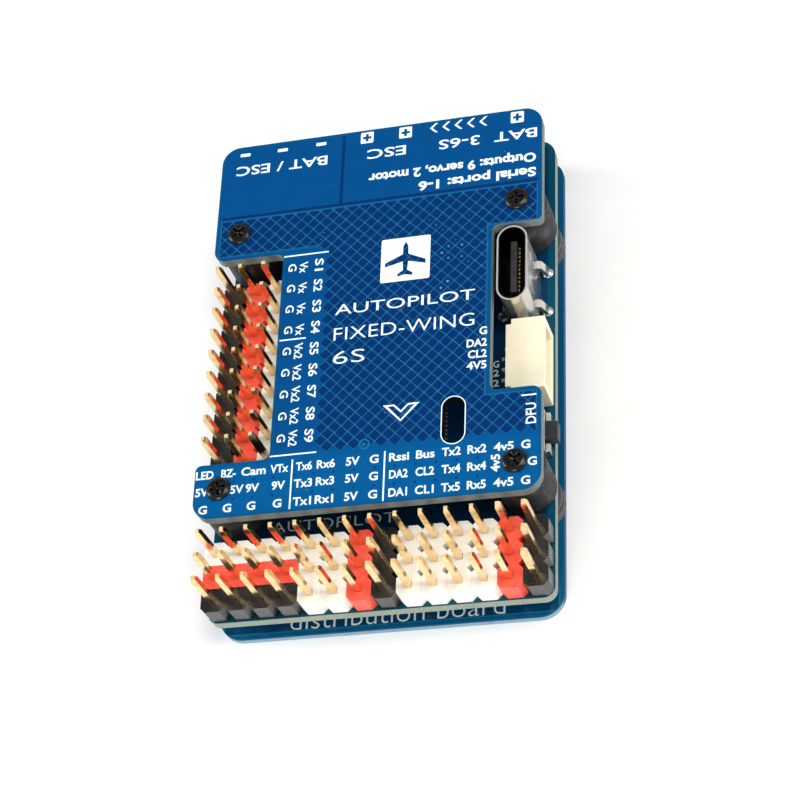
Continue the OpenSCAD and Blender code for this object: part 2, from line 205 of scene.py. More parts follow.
    def millimetres(self) -> Socket:
        """The place on the piece, in millimetres."""
        return self.scaled(self.add("ShaderNodeTexCoord", {}, 3), 1 / MM)

    def place(self, effect: "Effect", **values: Feed) -> Dict[str, Socket]:
        """Places a shared effect with its own values and returns its outputs by name."""
        node = self.tree.nodes.new("ShaderNodeGroup")
        node.node_tree = effect.group()
        for name, value in values.items():
            self.feed(node.inputs[name.replace("_", " ")], value)
        return {out.name: out for out in node.outputs}

    def gap(self, spot: Socket, *boxes: Tuple[Point, Point]) -> Socket:
        """Distance from the nearest of some upright rectangles, negative inside one."""
        found = [self.place(FIELD, Place=spot, Low=(*a, 0.0), High=(*b, 0.0))["Distance"] for a, b in boxes]
        out = found[0]
        for other in found[1:]:
            out = self.least(out, other)
        return out


# ---- effects that several finishes share ----


class Effect:
    """A shader node group, made once and placed in each material with that material's values."""

    name = ""
    takes: Dict[str, Tuple[str, Feed]] = {}
    gives: Dict[str, str] = {}
    built: Dict[str, bpy.types.NodeTree] = {}

    def group(self) -> bpy.types.NodeTree:
        """Makes the group the first time and returns it."""
        if self.name in Effect.built:
            return Effect.built[self.name]
        tree = bpy.data.node_groups.new(self.name, "ShaderNodeTree")
        graph = Graph(tree)
        kinds = {"number": "NodeSocketFloat", "vector": "NodeSocketVector", "colour": "NodeSocketColor"}
        for label, (kind, value) in self.takes.items():
            made = tree.interface.new_socket(name=label, in_out="INPUT", socket_type=kinds[kind])
            made.default_value = value
        for label, kind in self.gives.items():
            tree.interface.new_socket(name=label, in_out="OUTPUT", socket_type=kinds[kind])
        start = tree.nodes.new("NodeGroupInput")
        end = tree.nodes.new("NodeGroupOutput")
        results = self.write(graph, {out.name: out for out in start.outputs if out.name})
        for label, socket in results.items():
            tree.links.new(socket, end.inputs[label])
        Effect.built[self.name] = tree
        return tree

    def write(self, g: Graph, given: Dict[str, Socket]) -> Dict[str, Socket]:
        """Writes the nodes inside the group; each effect has its own."""
        raise NotImplementedError


class Grain(Effect):
    """Fine unevenness of a surface: a shade round 1, a drift round 0 and a height."""

    name = "surface_grain"
    takes = {"Place": ("vector", (0, 0, 0)), "Size": ("number", 0.3), "Contrast": ("number", 0.1)}
    gives = {"Shade": "number", "Drift": "number", "Height": "number"}

    def write(self, g: Graph, given: Dict[str, Socket]) -> Dict[str, Socket]:
        """Two noises, fine and broad, round zero."""
        fine = g.noise(given["Place"], g.math("DIVIDE", 1.0, given["Size"]), 5.0, 0.6)
        broad = g.noise(given["Place"], g.math("DIVIDE", 0.16, given["Size"]), 2.0)
        drift = g.minus(g.plus(fine, broad), 1.0)
        shade = g.scale_on(drift, g.times(given["Contrast"], 2.0), 1.0)
        return {"Shade": shade, "Drift": drift, "Height": fine}


class Specks(Effect):
    """Sparse round specks, such as dust or pinholes: a mask."""

    name = "sparse_specks"
    takes = {
        "Place": ("vector", (0, 0, 0)),
        "Spacing": ("number", 1.0),
        "Size": ("number", 0.05),
        "Share": ("number", 0.3),
    }
    gives = {"Mask": "number"}

    def write(self, g: Graph, given: Dict[str, Socket]) -> Dict[str, Socket]:
        """Keeps a share of the cells and draws a soft dot in each."""
        feeds = {"Vector": given["Place"], "Scale": g.math("DIVIDE", 1.0, given["Spacing"])}
        near = g.add("ShaderNodeTexVoronoi", feeds)
        reach = g.math("DIVIDE", given["Size"], given["Spacing"])
        dot = g.fade(near, g.times(reach, 0.4), reach)
        chance = g.parts(near.node.outputs["Color"])[0]
        return {"Mask": g.times(dot, g.below(chance, given["Share"]))}


class EdgeWearAndHighlight(Effect):
    """Where an edge is rubbed and where it catches light: one mask for rubbing and painted highlight."""

    name = "edge_wear_and_highlight"
    takes = {"Place": ("vector", (0, 0, 0)), "Width": ("number", 0.09)}
    gives = {"Mask": "number"}

    def write(self, g: Graph, given: Dict[str, Socket]) -> Dict[str, Socket]:
        """Finds where a rounded normal leaves the face's own, and breaks it up a little."""
        reach = {"Radius": g.times(given["Width"], MM)}
        rounded_normal = g.add("ShaderNodeBevel", reach, samples=4)
        own_normal = g.add("ShaderNodeNewGeometry", {}, 1)
        lean = g.minus(1.0, g.vector("DOT_PRODUCT", rounded_normal, own_normal, 1))
        broken = g.times(g.noise(given["Place"], 3.0, 3.0), 0.12)
        return {"Mask": g.smooth(g.minus(lean, broken), -0.02, 0.2)}


class Side(Effect):
    """Which way a face looks: masks for its upper side, edge and underside."""

    name = "face_side"
    takes = {}
    gives = {"Top": "number", "Edge": "number", "Under": "number"}

    def write(self, g: Graph, given: Dict[str, Socket]) -> Dict[str, Socket]:
        """Compares the upward part of the normal."""
        up = g.parts(g.add("ShaderNodeTexCoord", {}, 1))[2]
        top = g.above(up, 0.6)
        under = g.below(up, -0.6)
        return {"Top": top, "Under": under, "Edge": g.minus(g.minus(1.0, top), under)}


class Field(Effect):
    """Distance in millimetres from the edge of an upright rectangle, negative inside it."""

    name = "rectangle_field"
    takes = {"Place": ("vector", (0, 0, 0)), "Low": ("vector", (0, 0, 0)), "High": ("vector", (1, 1, 0))}
    gives = {"Distance": "number"}

    def write(self, g: Graph, given: Dict[str, Socket]) -> Dict[str, Socket]:
        """Takes the larger of the distances along X and along Y."""
        middle = g.scaled(g.vector("ADD", given["Low"], given["High"]), 0.5)
        half = g.scaled(g.vector("SUBTRACT", given["High"], given["Low"]), 0.5)
        away = g.vector("SUBTRACT", g.vector("ABSOLUTE", g.vector("SUBTRACT", given["Place"], middle)), half)
        x, y, _ = g.parts(away)
        return {"Distance": g.most(x, y)}


class CopperHatch(Effect):
    """Crossed copper lines at 45 degrees under the solder mask, as fields with round corners."""

    name = "copper_hatch"
    takes = {"Place": ("vector", (0, 0, 0)), "Pitch": ("number", 0.985), "Line": ("number", 0.09)}
    gives = {"Bare": "number", "Middle": "vector", "Chance": "number", "Reach": "number"}
    round_r = 0.14

    def write(self, g: Graph, given: Dict[str, Socket]) -> Dict[str, Socket]:
        """Turns the place by 45 degrees and folds it into one cell."""
        x, y, _ = g.parts(given["Place"])
        root = 0.5**0.5
        turned = [g.times(g.math(rule, x, y), root) for rule in ("ADD", "SUBTRACT")]
        cells = [g.math("FLOOR", g.math("DIVIDE", t, given["Pitch"])) for t in turned]
        mids = [g.times(g.plus(c, 0.5), given["Pitch"]) for c in cells]
        away = [g.size(g.minus(t, m)) for t, m in zip(turned, mids)]
        half = g.minus(g.times(g.minus(given["Pitch"], given["Line"]), 0.5), self.round_r)
        out = [g.most(g.minus(a, half), 0.0) for a in away]
        corner = g.length(g.whole(*out))
        bare = g.fade(corner, self.round_r - 0.02, self.round_r + 0.02)
        middle = g.whole(
            g.times(g.plus(*mids), root), g.times(g.minus(*mids), root)
        )
        chance = g.add("ShaderNodeTexWhiteNoise", {0: middle}, 0, noise_dimensions="3D")
        reach = g.length(g.whole(*away))
        return {"Bare": bare, "Middle": middle, "Chance": chance, "Reach": reach}


class GlassLayers(Effect):
    """The cut edge of a circuit board: thin glass layers that show as faint level lines."""

    name = "glass_layers"
    takes = {"Place": ("vector", (0, 0, 0)), "Pitch": ("number", 0.2)}
    gives = {"Shade": "number", "Height": "number"}

    def write(self, g: Graph, given: Dict[str, Socket]) -> Dict[str, Socket]:
        """Level waves with milling chatter along the edge."""
        _, _, z = g.parts(given["Place"])
        wave = g.math("SINE", g.math("DIVIDE", g.times(z, 2 * pi), given["Pitch"]))
        chatter = g.noise(g.vector("MULTIPLY", given["Place"], (3.0, 3.0, 0.6)), 1.4, 4.0, 0.65)
        both = g.plus(g.times(wave, 0.07), g.times(g.minus(chatter, 0.5), 0.5))
        return {"Shade": g.plus(both, 1.0), "Height": g.plus(both, chatter)}


GRAIN, SPECKS, EDGE_WEAR_AND_HIGHLIGHT, SIDE = Grain(), Specks(), EdgeWearAndHighlight(), Side()
FIELD, HATCH, LAYERS = Field(), CopperHatch(), GlassLayers()


# ---- finishes ----


@dataclass(frozen=True)
class Finish:
    """What every finish has: a name, the two colours it drifts between and its gloss."""

    name: str
    colour: str
    second: str
    rough: float = 0.5
    gloss: float = 0.5
    grain: float = 0.3
    relief: float = 0.004

    def material(self) -> Material:
        """Makes the material the first time and returns it."""
        made = bpy.data.materials.get(self.name)
        if made is None:
            made = bpy.data.materials.new(self.name)
            made.use_nodes = True
            g = Graph(made.node_tree)
            shader = made.node_tree.nodes.new("ShaderNodeBsdfPrincipled")
            end = made.node_tree.nodes.new("ShaderNodeOutputMaterial")
            made.node_tree.links.new(shader.outputs[0], end.inputs[0])
            shader.inputs["Specular IOR Level"].default_value = self.gloss
            self.dress(g, shader)
        return made

    def dress(self, g: Graph, shader: bpy.types.Node) -> None:
        """Writes the nodes that feed the shader; each finish has its own."""
        raise NotImplementedError

    def surface(self, g: Graph, shader: bpy.types.Node, colour: Feed, rough: Feed, height: Feed) -> None:
        """Feeds colour, roughness and the height of the relief, in millimetres, to the shader."""
        g.feed(shader.inputs["Base Color"], colour)
        g.feed(shader.inputs["Roughness"], rough)
        bump = g.add("ShaderNodeBump", {"Strength": 1.0, "Distance": self.relief * MM, "Height": height})
        g.feed(shader.inputs["Normal"], bump)

    def drifted(self, g: Graph, grain: Dict[str, Socket], low: float, high: float) -> Socket:
        """The finish's two colours, mixed and shaded by the grain."""
        share = g.smooth(grain["Drift"], low, high)
        return g.shaded(g.blend(share, tint(self.colour), tint(self.second)), grain["Shade"])

    def apply(self, piece: Object) -> None:
        """Puts the finish in every material slot of the piece."""
        if not piece.data.materials:
            piece.data.materials.append(self.material())
        for place in piece.material_slots:
            place.material = self.material()


@dataclass(frozen=True)
class Moulded(Finish):
    """Moulded nylon or epoxy, with edges lightened by rubbing and by painted highlight, and a trace of flow
    marks.
    """

    edge: str = "ffffff"
    wear_and_highlight: float = 0.3
    flow: float = 0.0

    def dress(self, g: Graph, shader: bpy.types.Node) -> None:
        """Drifts between two colours and lightens the outer edges, partly for rubbing and partly as painted
        highlight.
        """
        spot = g.millimetres()
        grain = g.place(GRAIN, Place=spot, Size=self.grain, Contrast=0.06)
        streak = g.noise(g.vector("MULTIPLY", spot, (1.0, 1.0, 5.0)), 1.6, 3.0)
        share = g.smooth(g.scale_on(streak, self.flow, grain["Drift"]), -0.35, 0.45)
        colour = g.shaded(g.blend(share, tint(self.colour), tint(self.second)), grain["Shade"])
        # Painted highlight, with some rubbing: the edge colour laid on the rims.
        rim = g.place(EDGE_WEAR_AND_HIGHLIGHT, Place=spot)["Mask"]
        colour = g.blend(g.times(rim, self.wear_and_highlight), colour, tint(self.edge))
        rough = g.scale_on(grain["Drift"], 0.25, self.rough, clamp=True)
        self.surface(g, shader, colour, rough, g.plus(grain["Height"], streak))


@dataclass(frozen=True)
class Rubber(Finish):
    """Black or grey rubber with a dusty bloom on its shoulders and small pits."""

    bloom: str = "8a8a8c"
    dust: float = 0.35

    def dress(self, g: Graph, shader: bpy.types.Node) -> None:
        """Mottles the rubber, then adds bloom, pale dust and pits."""
        spot = g.millimetres()
        grain = g.place(GRAIN, Place=spot, Size=self.grain, Contrast=0.16)
        colour = self.drifted(g, grain, -0.3, 0.4)
        bloom = g.smooth(g.noise(spot, 0.55, 4.0, 0.65), 0.45, 0.8)
        colour = g.blend(g.times(bloom, self.dust), colour, tint(self.bloom))
        dust = g.place(SPECKS, Place=spot, Spacing=0.5, Size=0.07, Share=0.22)["Mask"]
        colour = g.blend(g.times(dust, 0.6), colour, tint("d6d6d4"))
        rough = g.scale_on(grain["Drift"], 0.2, self.rough, clamp=True)
        self.surface(g, shader, colour, rough, g.minus(grain["Height"], dust))


@dataclass(frozen=True)
class Metal(Finish):
    """Plated or pressed metal with drawing lines along one direction, tarnished patches that on the gold pins
    are partly a painted reflection, and edges lightened by rubbing and painted highlight.
    """

    tarnish_and_reflection: str = "6a5a48"
    stain_and_reflection: float = 0.3
    stretch: Tuple[float, float, float] = (1.0, 1.0, 0.12)
    metallic: float = 1.0
    edge: str = "ffffff"
    wear_and_highlight: float = 0.0
    caps: float = 0.0

    def dress(self, g: Graph, shader: bpy.types.Node) -> None:
        """Draws fine lines along the stretch, lays tarnished patches (on the gold partly a painted reflection),
        lightens edges by rubbing and painted highlight, and makes upward faces less metallic for a painted
        highlight on the caps.
        """
        spot = g.millimetres()
        lines = g.noise(g.vector("MULTIPLY", spot, self.stretch), 1 / self.grain, 4.0, 0.6)
        # Tarnished patches: real on most metals; on the gold pins partly a painted reflection of the red and
        # dark parts nearby.
        patch = g.smooth(g.noise(spot, 0.8, 4.0, 0.6), 0.42, 0.75)
        colour = g.blend(lines, tint(self.colour), tint(self.second))
        colour = g.blend(g.times(patch, self.stain_and_reflection), colour, tint(self.tarnish_and_reflection))
        # Painted highlight, with some rubbing: the edge colour laid on rims.
        rim = g.place(EDGE_WEAR_AND_HIGHLIGHT, Place=spot, Width=0.07)["Mask"]
        colour = self.shadow(g, spot, g.blend(g.times(rim, self.wear_and_highlight), colour, tint(self.edge)))
        rough = g.plus(g.scale_on(lines, 0.14, self.rough - 0.07), g.times(patch, 0.12))
        # Painted highlight on the caps: upward faces are less metallic, so they read lighter.
        cap_highlight_metallic = g.scale_on(g.place(SIDE)["Top"], -self.caps, self.metallic)
        g.feed(shader.inputs["Metallic"], cap_highlight_metallic)
        self.surface(g, shader, colour, rough, lines)

    def shadow(self, g: Graph, spot: Socket, colour: Socket) -> Socket:
        """Lets a kind of metal paint shade onto a part of itself; plain metal leaves the colour alone."""
        return colour


@dataclass(frozen=True)
class ShellMetal(Metal):
    """The bright shell of a port, dark in its mouth where the light doesn't reach."""

    middle: Point = (14.75, 7.6)
    mouth: Point = (1.43, 4.3)
    dark: str = "1e1e20"

    def shadow(self, g: Graph, spot: Socket, colour: Socket) -> Socket:
        """Darkens what lies within the mouth, whose ends are half circles."""
        away = g.vector("ABSOLUTE", g.vector("SUBTRACT", spot, (*self.middle, 0.0)))
        x, y, _ = g.parts(away)
        past = g.most(g.minus(y, self.mouth[1] - self.mouth[0]), 0.0)
        reach = g.length(g.whole(x, past))
        within = g.fade(reach, self.mouth[0] - 0.02, self.mouth[0] + 0.02)
        return g.blend(within, colour, tint(self.dark))


@dataclass(frozen=True)
class ScrewMetal(Metal):
    """Blackened screws, with painted shade making the cross recess of each head blackest."""

    middle: Point = (HOLE_PITCH / 2, HOLE_PITCH / 2)
    face: float = 11.7
    reach: float = 0.92
    dark: str = "020202"

    def shadow(self, g: Graph, spot: Socket, colour: Socket) -> Socket:
        """Paints shade on what lies below the face of a head, near the head's middle: the cross recess."""
        x, y, z = g.parts(g.vector("ABSOLUTE", spot))
        away = g.length(g.vector("SUBTRACT", g.whole(x, y), (*self.middle, 0.0)))
        sunk = g.fade(z, self.face - 0.03, self.face)
        near = g.fade(away, self.reach - 0.03, self.reach)
        return g.blend(g.times(sunk, near), colour, tint(self.dark))


@dataclass(frozen=True)
class Ink(Finish):
    """White silkscreen ink, slightly uneven, with pinholes."""

    def dress(self, g: Graph, shader: bpy.types.Node) -> None:
        """Drifts the white and lets pinholes show the mask."""
        spot = g.millimetres()
        grain = g.place(GRAIN, Place=spot, Size=self.grain, Contrast=0.05)
        holes = g.place(SPECKS, Place=spot, Spacing=0.45, Size=0.05, Share=0.18)["Mask"]
        colour = self.drifted(g, grain, -0.3, 0.4)
        colour = g.blend(g.times(holes, 0.35), colour, tint("7fa6c4"))
        self.surface(g, shader, colour, g.scale_on(grain["Drift"], 0.2, self.rough), grain["Height"])


@dataclass(frozen=True)
class Resin(Finish):
    """Clear yellowish resin of a light-emitting diode over a pale reflector."""

    def dress(self, g: Graph, shader: bpy.types.Node) -> None:
        """Drifts between two colours under a clear coat."""
        spot = g.millimetres()
        grain = g.place(GRAIN, Place=spot, Size=self.grain, Contrast=0.08)
        colour = self.drifted(g, grain, -0.4, 0.5)
        shader.inputs["Coat Weight"].default_value = 0.6
        self.surface(g, shader, colour, self.rough, grain["Height"])


@dataclass(frozen=True)
class BoardFinish(Finish):
    """Blue solder mask over copper, with the cut glass edge on the sides of the board."""

    bare: str = "0b3c7e"
    edge: str = "8f9a9a"
    edge_low: str = "6d7778"
    trace: float = 0.25
    low: Point = (-17.9, -27.0)
    high: Point = (17.9, 27.0)
    clear: str = "006078"
    margin: float = 0.7
    dust: str = "b9cfe2"

    def dress(self, g: Graph, shader: bpy.types.Node) -> None:
        """Mask on the faces, glass layers on the edge."""
        spot = g.millimetres()
        side = g.place(SIDE)
        face, height = self.face(g, spot, side)
        away = g.plus(self.outline(g, spot), self.margin)
        face = g.blend(g.smooth(away, -0.15, 0.15, 0.0, 0.7), face, tint(self.clear))
        grain = g.place(GRAIN, Place=spot, Size=self.grain, Contrast=0.05)
        face = g.shaded(face, grain["Shade"])
        dust = g.place(SPECKS, Place=spot, Spacing=1.5, Size=0.07, Share=0.3)["Mask"]
        face = g.blend(g.times(dust, 0.55), face, tint(self.dust))
        layers = g.place(LAYERS, Place=spot)
        rim = g.shaded(g.blend(g.noise(spot, 0.5), tint(self.edge), tint(self.edge_low)), layers["Shade"])
        colour = g.blend(side["Edge"], face, self.rim(g, spot, rim))
        rough = g.scale_on(side["Edge"], 0.3, g.scale_on(grain["Drift"], 0.12, self.rough))
        relief = g.plus(g.times(side["Edge"], layers["Height"]), height)
        self.surface(g, shader, colour, rough, g.scale_on(grain["Height"], 0.3, relief))

    def outline(self, g: Graph, spot: Socket) -> Socket:
        """Distance from the board's cut edge, negative on the board."""
        return g.gap(spot, (self.low, self.high))

    def rim(self, g: Graph, spot: Socket, rim: Socket) -> Socket:
        """Lets a board colour a part of its cut edge; a plain board leaves it alone."""
        return rim

    def face(self, g: Graph, spot: Socket, side: Dict[str, Socket]) -> Tuple[Socket, Feed]:
        """Colour and height of the masked faces: traces run under the mask along X and Y.

        Args:
            g: the material's graph.
            spot: the place, in millimetres.
            side: the masks of the face's side.

        Returns:
            The colour, and the height of the copper under the mask.
        """
        cells = {"Vector": g.vector("MULTIPLY", spot, (1.0, 0.35, 1.0)), "Scale": 0.55}
        across = g.add("ShaderNodeTexVoronoi", cells, 0, feature="F1", distance="CHEBYCHEV")
        island = g.smooth(across, 0.52, 0.56)
        vias = g.place(SPECKS, Place=spot, Spacing=1.3, Size=0.2, Share=0.3)["Mask"]
        copper = g.most(g.times(island, self.trace), g.times(vias, 0.5))
        return g.blend(copper, tint(self.colour), tint(self.bare)), g.times(copper, -0.8)


@dataclass(frozen=True)
class BorderedFinish(BoardFinish):
    """The power board's mask, with a raised copper border just inside its edge."""

    border: float = 0.5
    line: str = "1f7d9c"
    thick: float = 1.0
    mask_depth: float = 0.35

    def rim(self, g: Graph, spot: Socket, rim: Socket) -> Socket:
        """Runs the mask down the upper part of the cut edge, and all the way down along the sides."""
        x, _, z = g.parts(spot)
        upper = g.smooth(z, self.thick - self.mask_depth, self.thick - self.mask_depth + 0.1)
        flank = g.smooth(g.size(x), self.high[0] - 0.4, self.high[0] - 0.05, 0.0, 0.8)
        return g.blend(g.most(upper, flank), rim, tint(self.colour))

    def face(self, g: Graph, spot: Socket, side: Dict[str, Socket]) -> Tuple[Socket, Feed]:
        """Colour and height of the masked faces, with the border drawn over the traces.

        Args:
            g: the material's graph.
            spot: the place, in millimetres.
            side: the masks of the face's side.

        Returns:
            The colour, and the height of the copper under the mask.
        """
        colour, height = super().face(g, spot, side)
        away = self.outline(g, spot)
        ring = g.line(away, -self.border, 0.04, 0.1)
        front = g.smooth(g.parts(spot)[1], self.low[1] + 1.0, self.low[1] + 4.0, 1.0, 0.15)
        ring = g.times(ring, front, side["Top"])
        return g.blend(ring, colour, tint(self.line)), g.plus(height, g.times(ring, 2.0))


@dataclass(frozen=True)
class PlateFinish(BoardFinish):
    """The label plate's mask: solid fields, a crossed copper hatch, borders and dividing lines."""

    # Lighter blue of the solid mask toward the front: partly the mask's own colour, partly painted sheen.
    front: str = "005690"
    line: str = "1a6893"
    border: float = 0.5
    hatch_at: Point = (0.93, -0.188)
    hatch_pitch: float = 1.005
    hatch_rear: float = 17.1
    hatch_front: float = -12.2
    strip_x: float = -5.3
    split_x: float = -4.0
    split_y: float = 17.43
    notch: Point = (-10.05, 12.05)
    cutout: Point = (12.65, 12.45)
    cutout_front: float = -7.1
    target: Point = (-0.12, -11.76)
    target_r: float = 0.5
    slot: Tuple[Point, Point] = ((7.4, -13.0), (10.6, -7.1))
    glint_field: Tuple[Point, Point] = ((5.0, 2.5), (11.6, 15.0))
    via_rows: Point = (-14.5, -16.5)
    via_pitch: float = 2.1
    half_groove: float = 0.14
    front_fade: Point = (-13.6, -11.0)
    glint: str = "9fb2d8"
    groove: str = "013066"
    via: str = "06306b"
    # Painted shade for the wall of the slot.
    slot_wall_shade: str = "0a0b0f"

    def outline(self, g: Graph, spot: Socket) -> Socket:
        """Distance from the plate's edge, by the four rectangles that it is made of."""
        (left, front), (right, rear) = self.low, self.high
        return g.gap(
            spot,
            ((left, self.notch[1]), (right, rear)), ((self.notch[0], front), (self.cutout[0], rear)),
            ((left, front), (right, self.hatch_front - 0.2)), ((0.0, front), (right, self.cutout_front)),
        )

    def rim(self, g: Graph, spot: Socket, rim: Socket) -> Socket:
        """Paints shade onto the wall of the slot, which is lined with plating, so that it reads black."""
        away = g.gap(spot, self.slot)
        return g.blend(g.below(away, 0.0), rim, tint(self.slot_wall_shade))

    def face(self, g: Graph, spot: Socket, side: Dict[str, Socket]) -> Tuple[Socket, Feed]:
        """Colour and copper height of the printed side; the underside is hatched all over.

        Args:
            g: the material's graph.
            spot: the place, in millimetres.
            side: the masks of the face's side.

        Returns:
            The colour, and the height of the copper under the mask.
        """
        x, y, _ = g.parts(spot)
        shift = (*self.hatch_at, 0.0)
        hatch = g.place(HATCH, Place=g.vector("SUBTRACT", spot, shift), Pitch=self.hatch_pitch)
        mid_x, mid_y, _ = g.parts(g.vector("ADD", hatch["Middle"], shift))
        edge_low, edge_high = self.low[0] + self.border, self.high[0] - self.border
        wing_y = self.notch[1] + self.border
        deep = self.hatch_front - 1.2
        away = g.gap(
            spot,
            ((edge_low, wing_y), (edge_high, self.hatch_rear)),
            ((self.strip_x - 1.1, deep), (self.cutout[0] - self.border, self.hatch_rear)),
            ((0.0, deep), (edge_high, self.cutout_front - self.border)),
        )
        upper = g.above(mid_y, wing_y)
        right = g.most(g.above(mid_x, self.strip_x), upper)
        whole = g.times(right, g.above(mid_y, self.hatch_front))
        inside = g.times(g.fade(away, -0.02, 0.02), whole)
        printed = g.most(inside, side["Under"])
        bare = g.times(hatch["Bare"], printed)
        worn = g.smooth(g.noise(spot, 1.1, 3.0), 0.3, 0.7, 0.45, 1.0)
        lined = g.times(printed, worn, g.minus(1.0, hatch["Bare"]))
        rim = g.times(g.line(away, 0.0, 0.06, 0.12), side["Top"])
        past = g.most(g.above(x, self.strip_x + 0.6), g.above(y, wing_y - 0.3))
        rim = g.times(rim, g.times(past, g.above(y, self.hatch_front + 0.3)))
        # Toward the front the solid mask turns lighter: partly its own colour, partly painted sheen.
        toward = g.fade(y, *self.front_fade)
        solid = g.blend(toward, tint(self.colour), tint(self.front))
        colour = g.blend(bare, solid, tint(self.bare))
        colour = g.blend(g.most(lined, g.times(rim, 0.6)), colour, tint(self.line))
        # Painted glints: pale dots where tented vias catch light.
        glint = g.times(self.glints(g, spot, hatch), side["Top"])
        colour = g.blend(glint, colour, tint(self.glint))
        colour = g.blend(g.times(self.fiducial(g, spot), side["Top"]), colour, tint(self.line))
        groove = self.grooves(g, x, y, side)
        colour = g.blend(groove, colour, tint(self.groove))
        vias = g.times(self.vias(g, x, y), side["Top"])
        colour = g.blend(g.times(vias, 0.85), colour, tint(self.via))
        height = g.minus(g.times(g.plus(bare, groove), -1.0), vias)
        return colour, height

    def fiducial(self, g: Graph, spot: Socket) -> Socket:
        """A small ring and dot in the copper that machines aim at."""
        flat = g.vector("MULTIPLY", g.vector("SUBTRACT", spot, (*self.target, 0.0)), (1.0, 1.0, 0.0))
        away = g.length(flat)
        ring = g.line(away, self.target_r, 0.06, 0.11)
        return g.most(ring, g.fade(away, 0.14, 0.2))

    def glints(self, g: Graph, spot: Socket, hatch: Dict[str, Socket]) -> Socket:
        """Pale tented vias in the fields beside the USB port, drawn as painted glints."""
        near = g.gap(spot, self.glint_field)
        dot = g.smooth(hatch["Reach"], 0.03, 0.2, 0.8, 0.0)
        some = g.smooth(hatch["Chance"], 0.55, 0.95)
        return g.times(dot, some, g.fade(near, -3.5, 0.0))

    def grooves(self, g: Graph, x: Socket, y: Socket, side: Dict[str, Socket]) -> Socket:
        """The dark lines without copper that divide the rear fields."""
        level = g.line(y, self.split_y, self.half_groove, self.half_groove + 0.08)
        upright = g.line(x, self.split_x, self.half_groove, self.half_groove + 0.08)
        upright = g.times(upright, g.above(y, self.split_y))
        short = g.below(g.size(x), self.high[0] - 0.5)
        lines = g.most(g.times(level, short), upright)
        lines = g.times(lines, g.below(y, self.high[1] - 0.35))
        return g.times(lines, side["Top"])

    def vias(self, g: Graph, x: Socket, y: Socket) -> Socket:
        """Two rows of small tented vias between the front labels."""
        rows = [g.size(g.minus(y, row)) for row in self.via_rows]
        folded = g.size(g.minus(g.math("FRACT", g.math("DIVIDE", x, self.via_pitch)), 0.5))
        across = g.times(folded, self.via_pitch)
        away = g.length(g.whole(across, g.least(*rows)))
        return g.fade(away, 0.1, 0.2)


@dataclass(frozen=True)
class Paper(Finish):
    """The pale studio sheet that the board lies on."""

    def dress(self, g: Graph, shader: bpy.types.Node) -> None:
        """Almost even white with a soft fibre."""
        spot = g.millimetres()
        grain = g.place(GRAIN, Place=spot, Size=4.0, Contrast=0.008)
        colour = self.drifted(g, grain, -0.4, 0.4)
        self.surface(g, shader, colour, self.rough, grain["Height"])


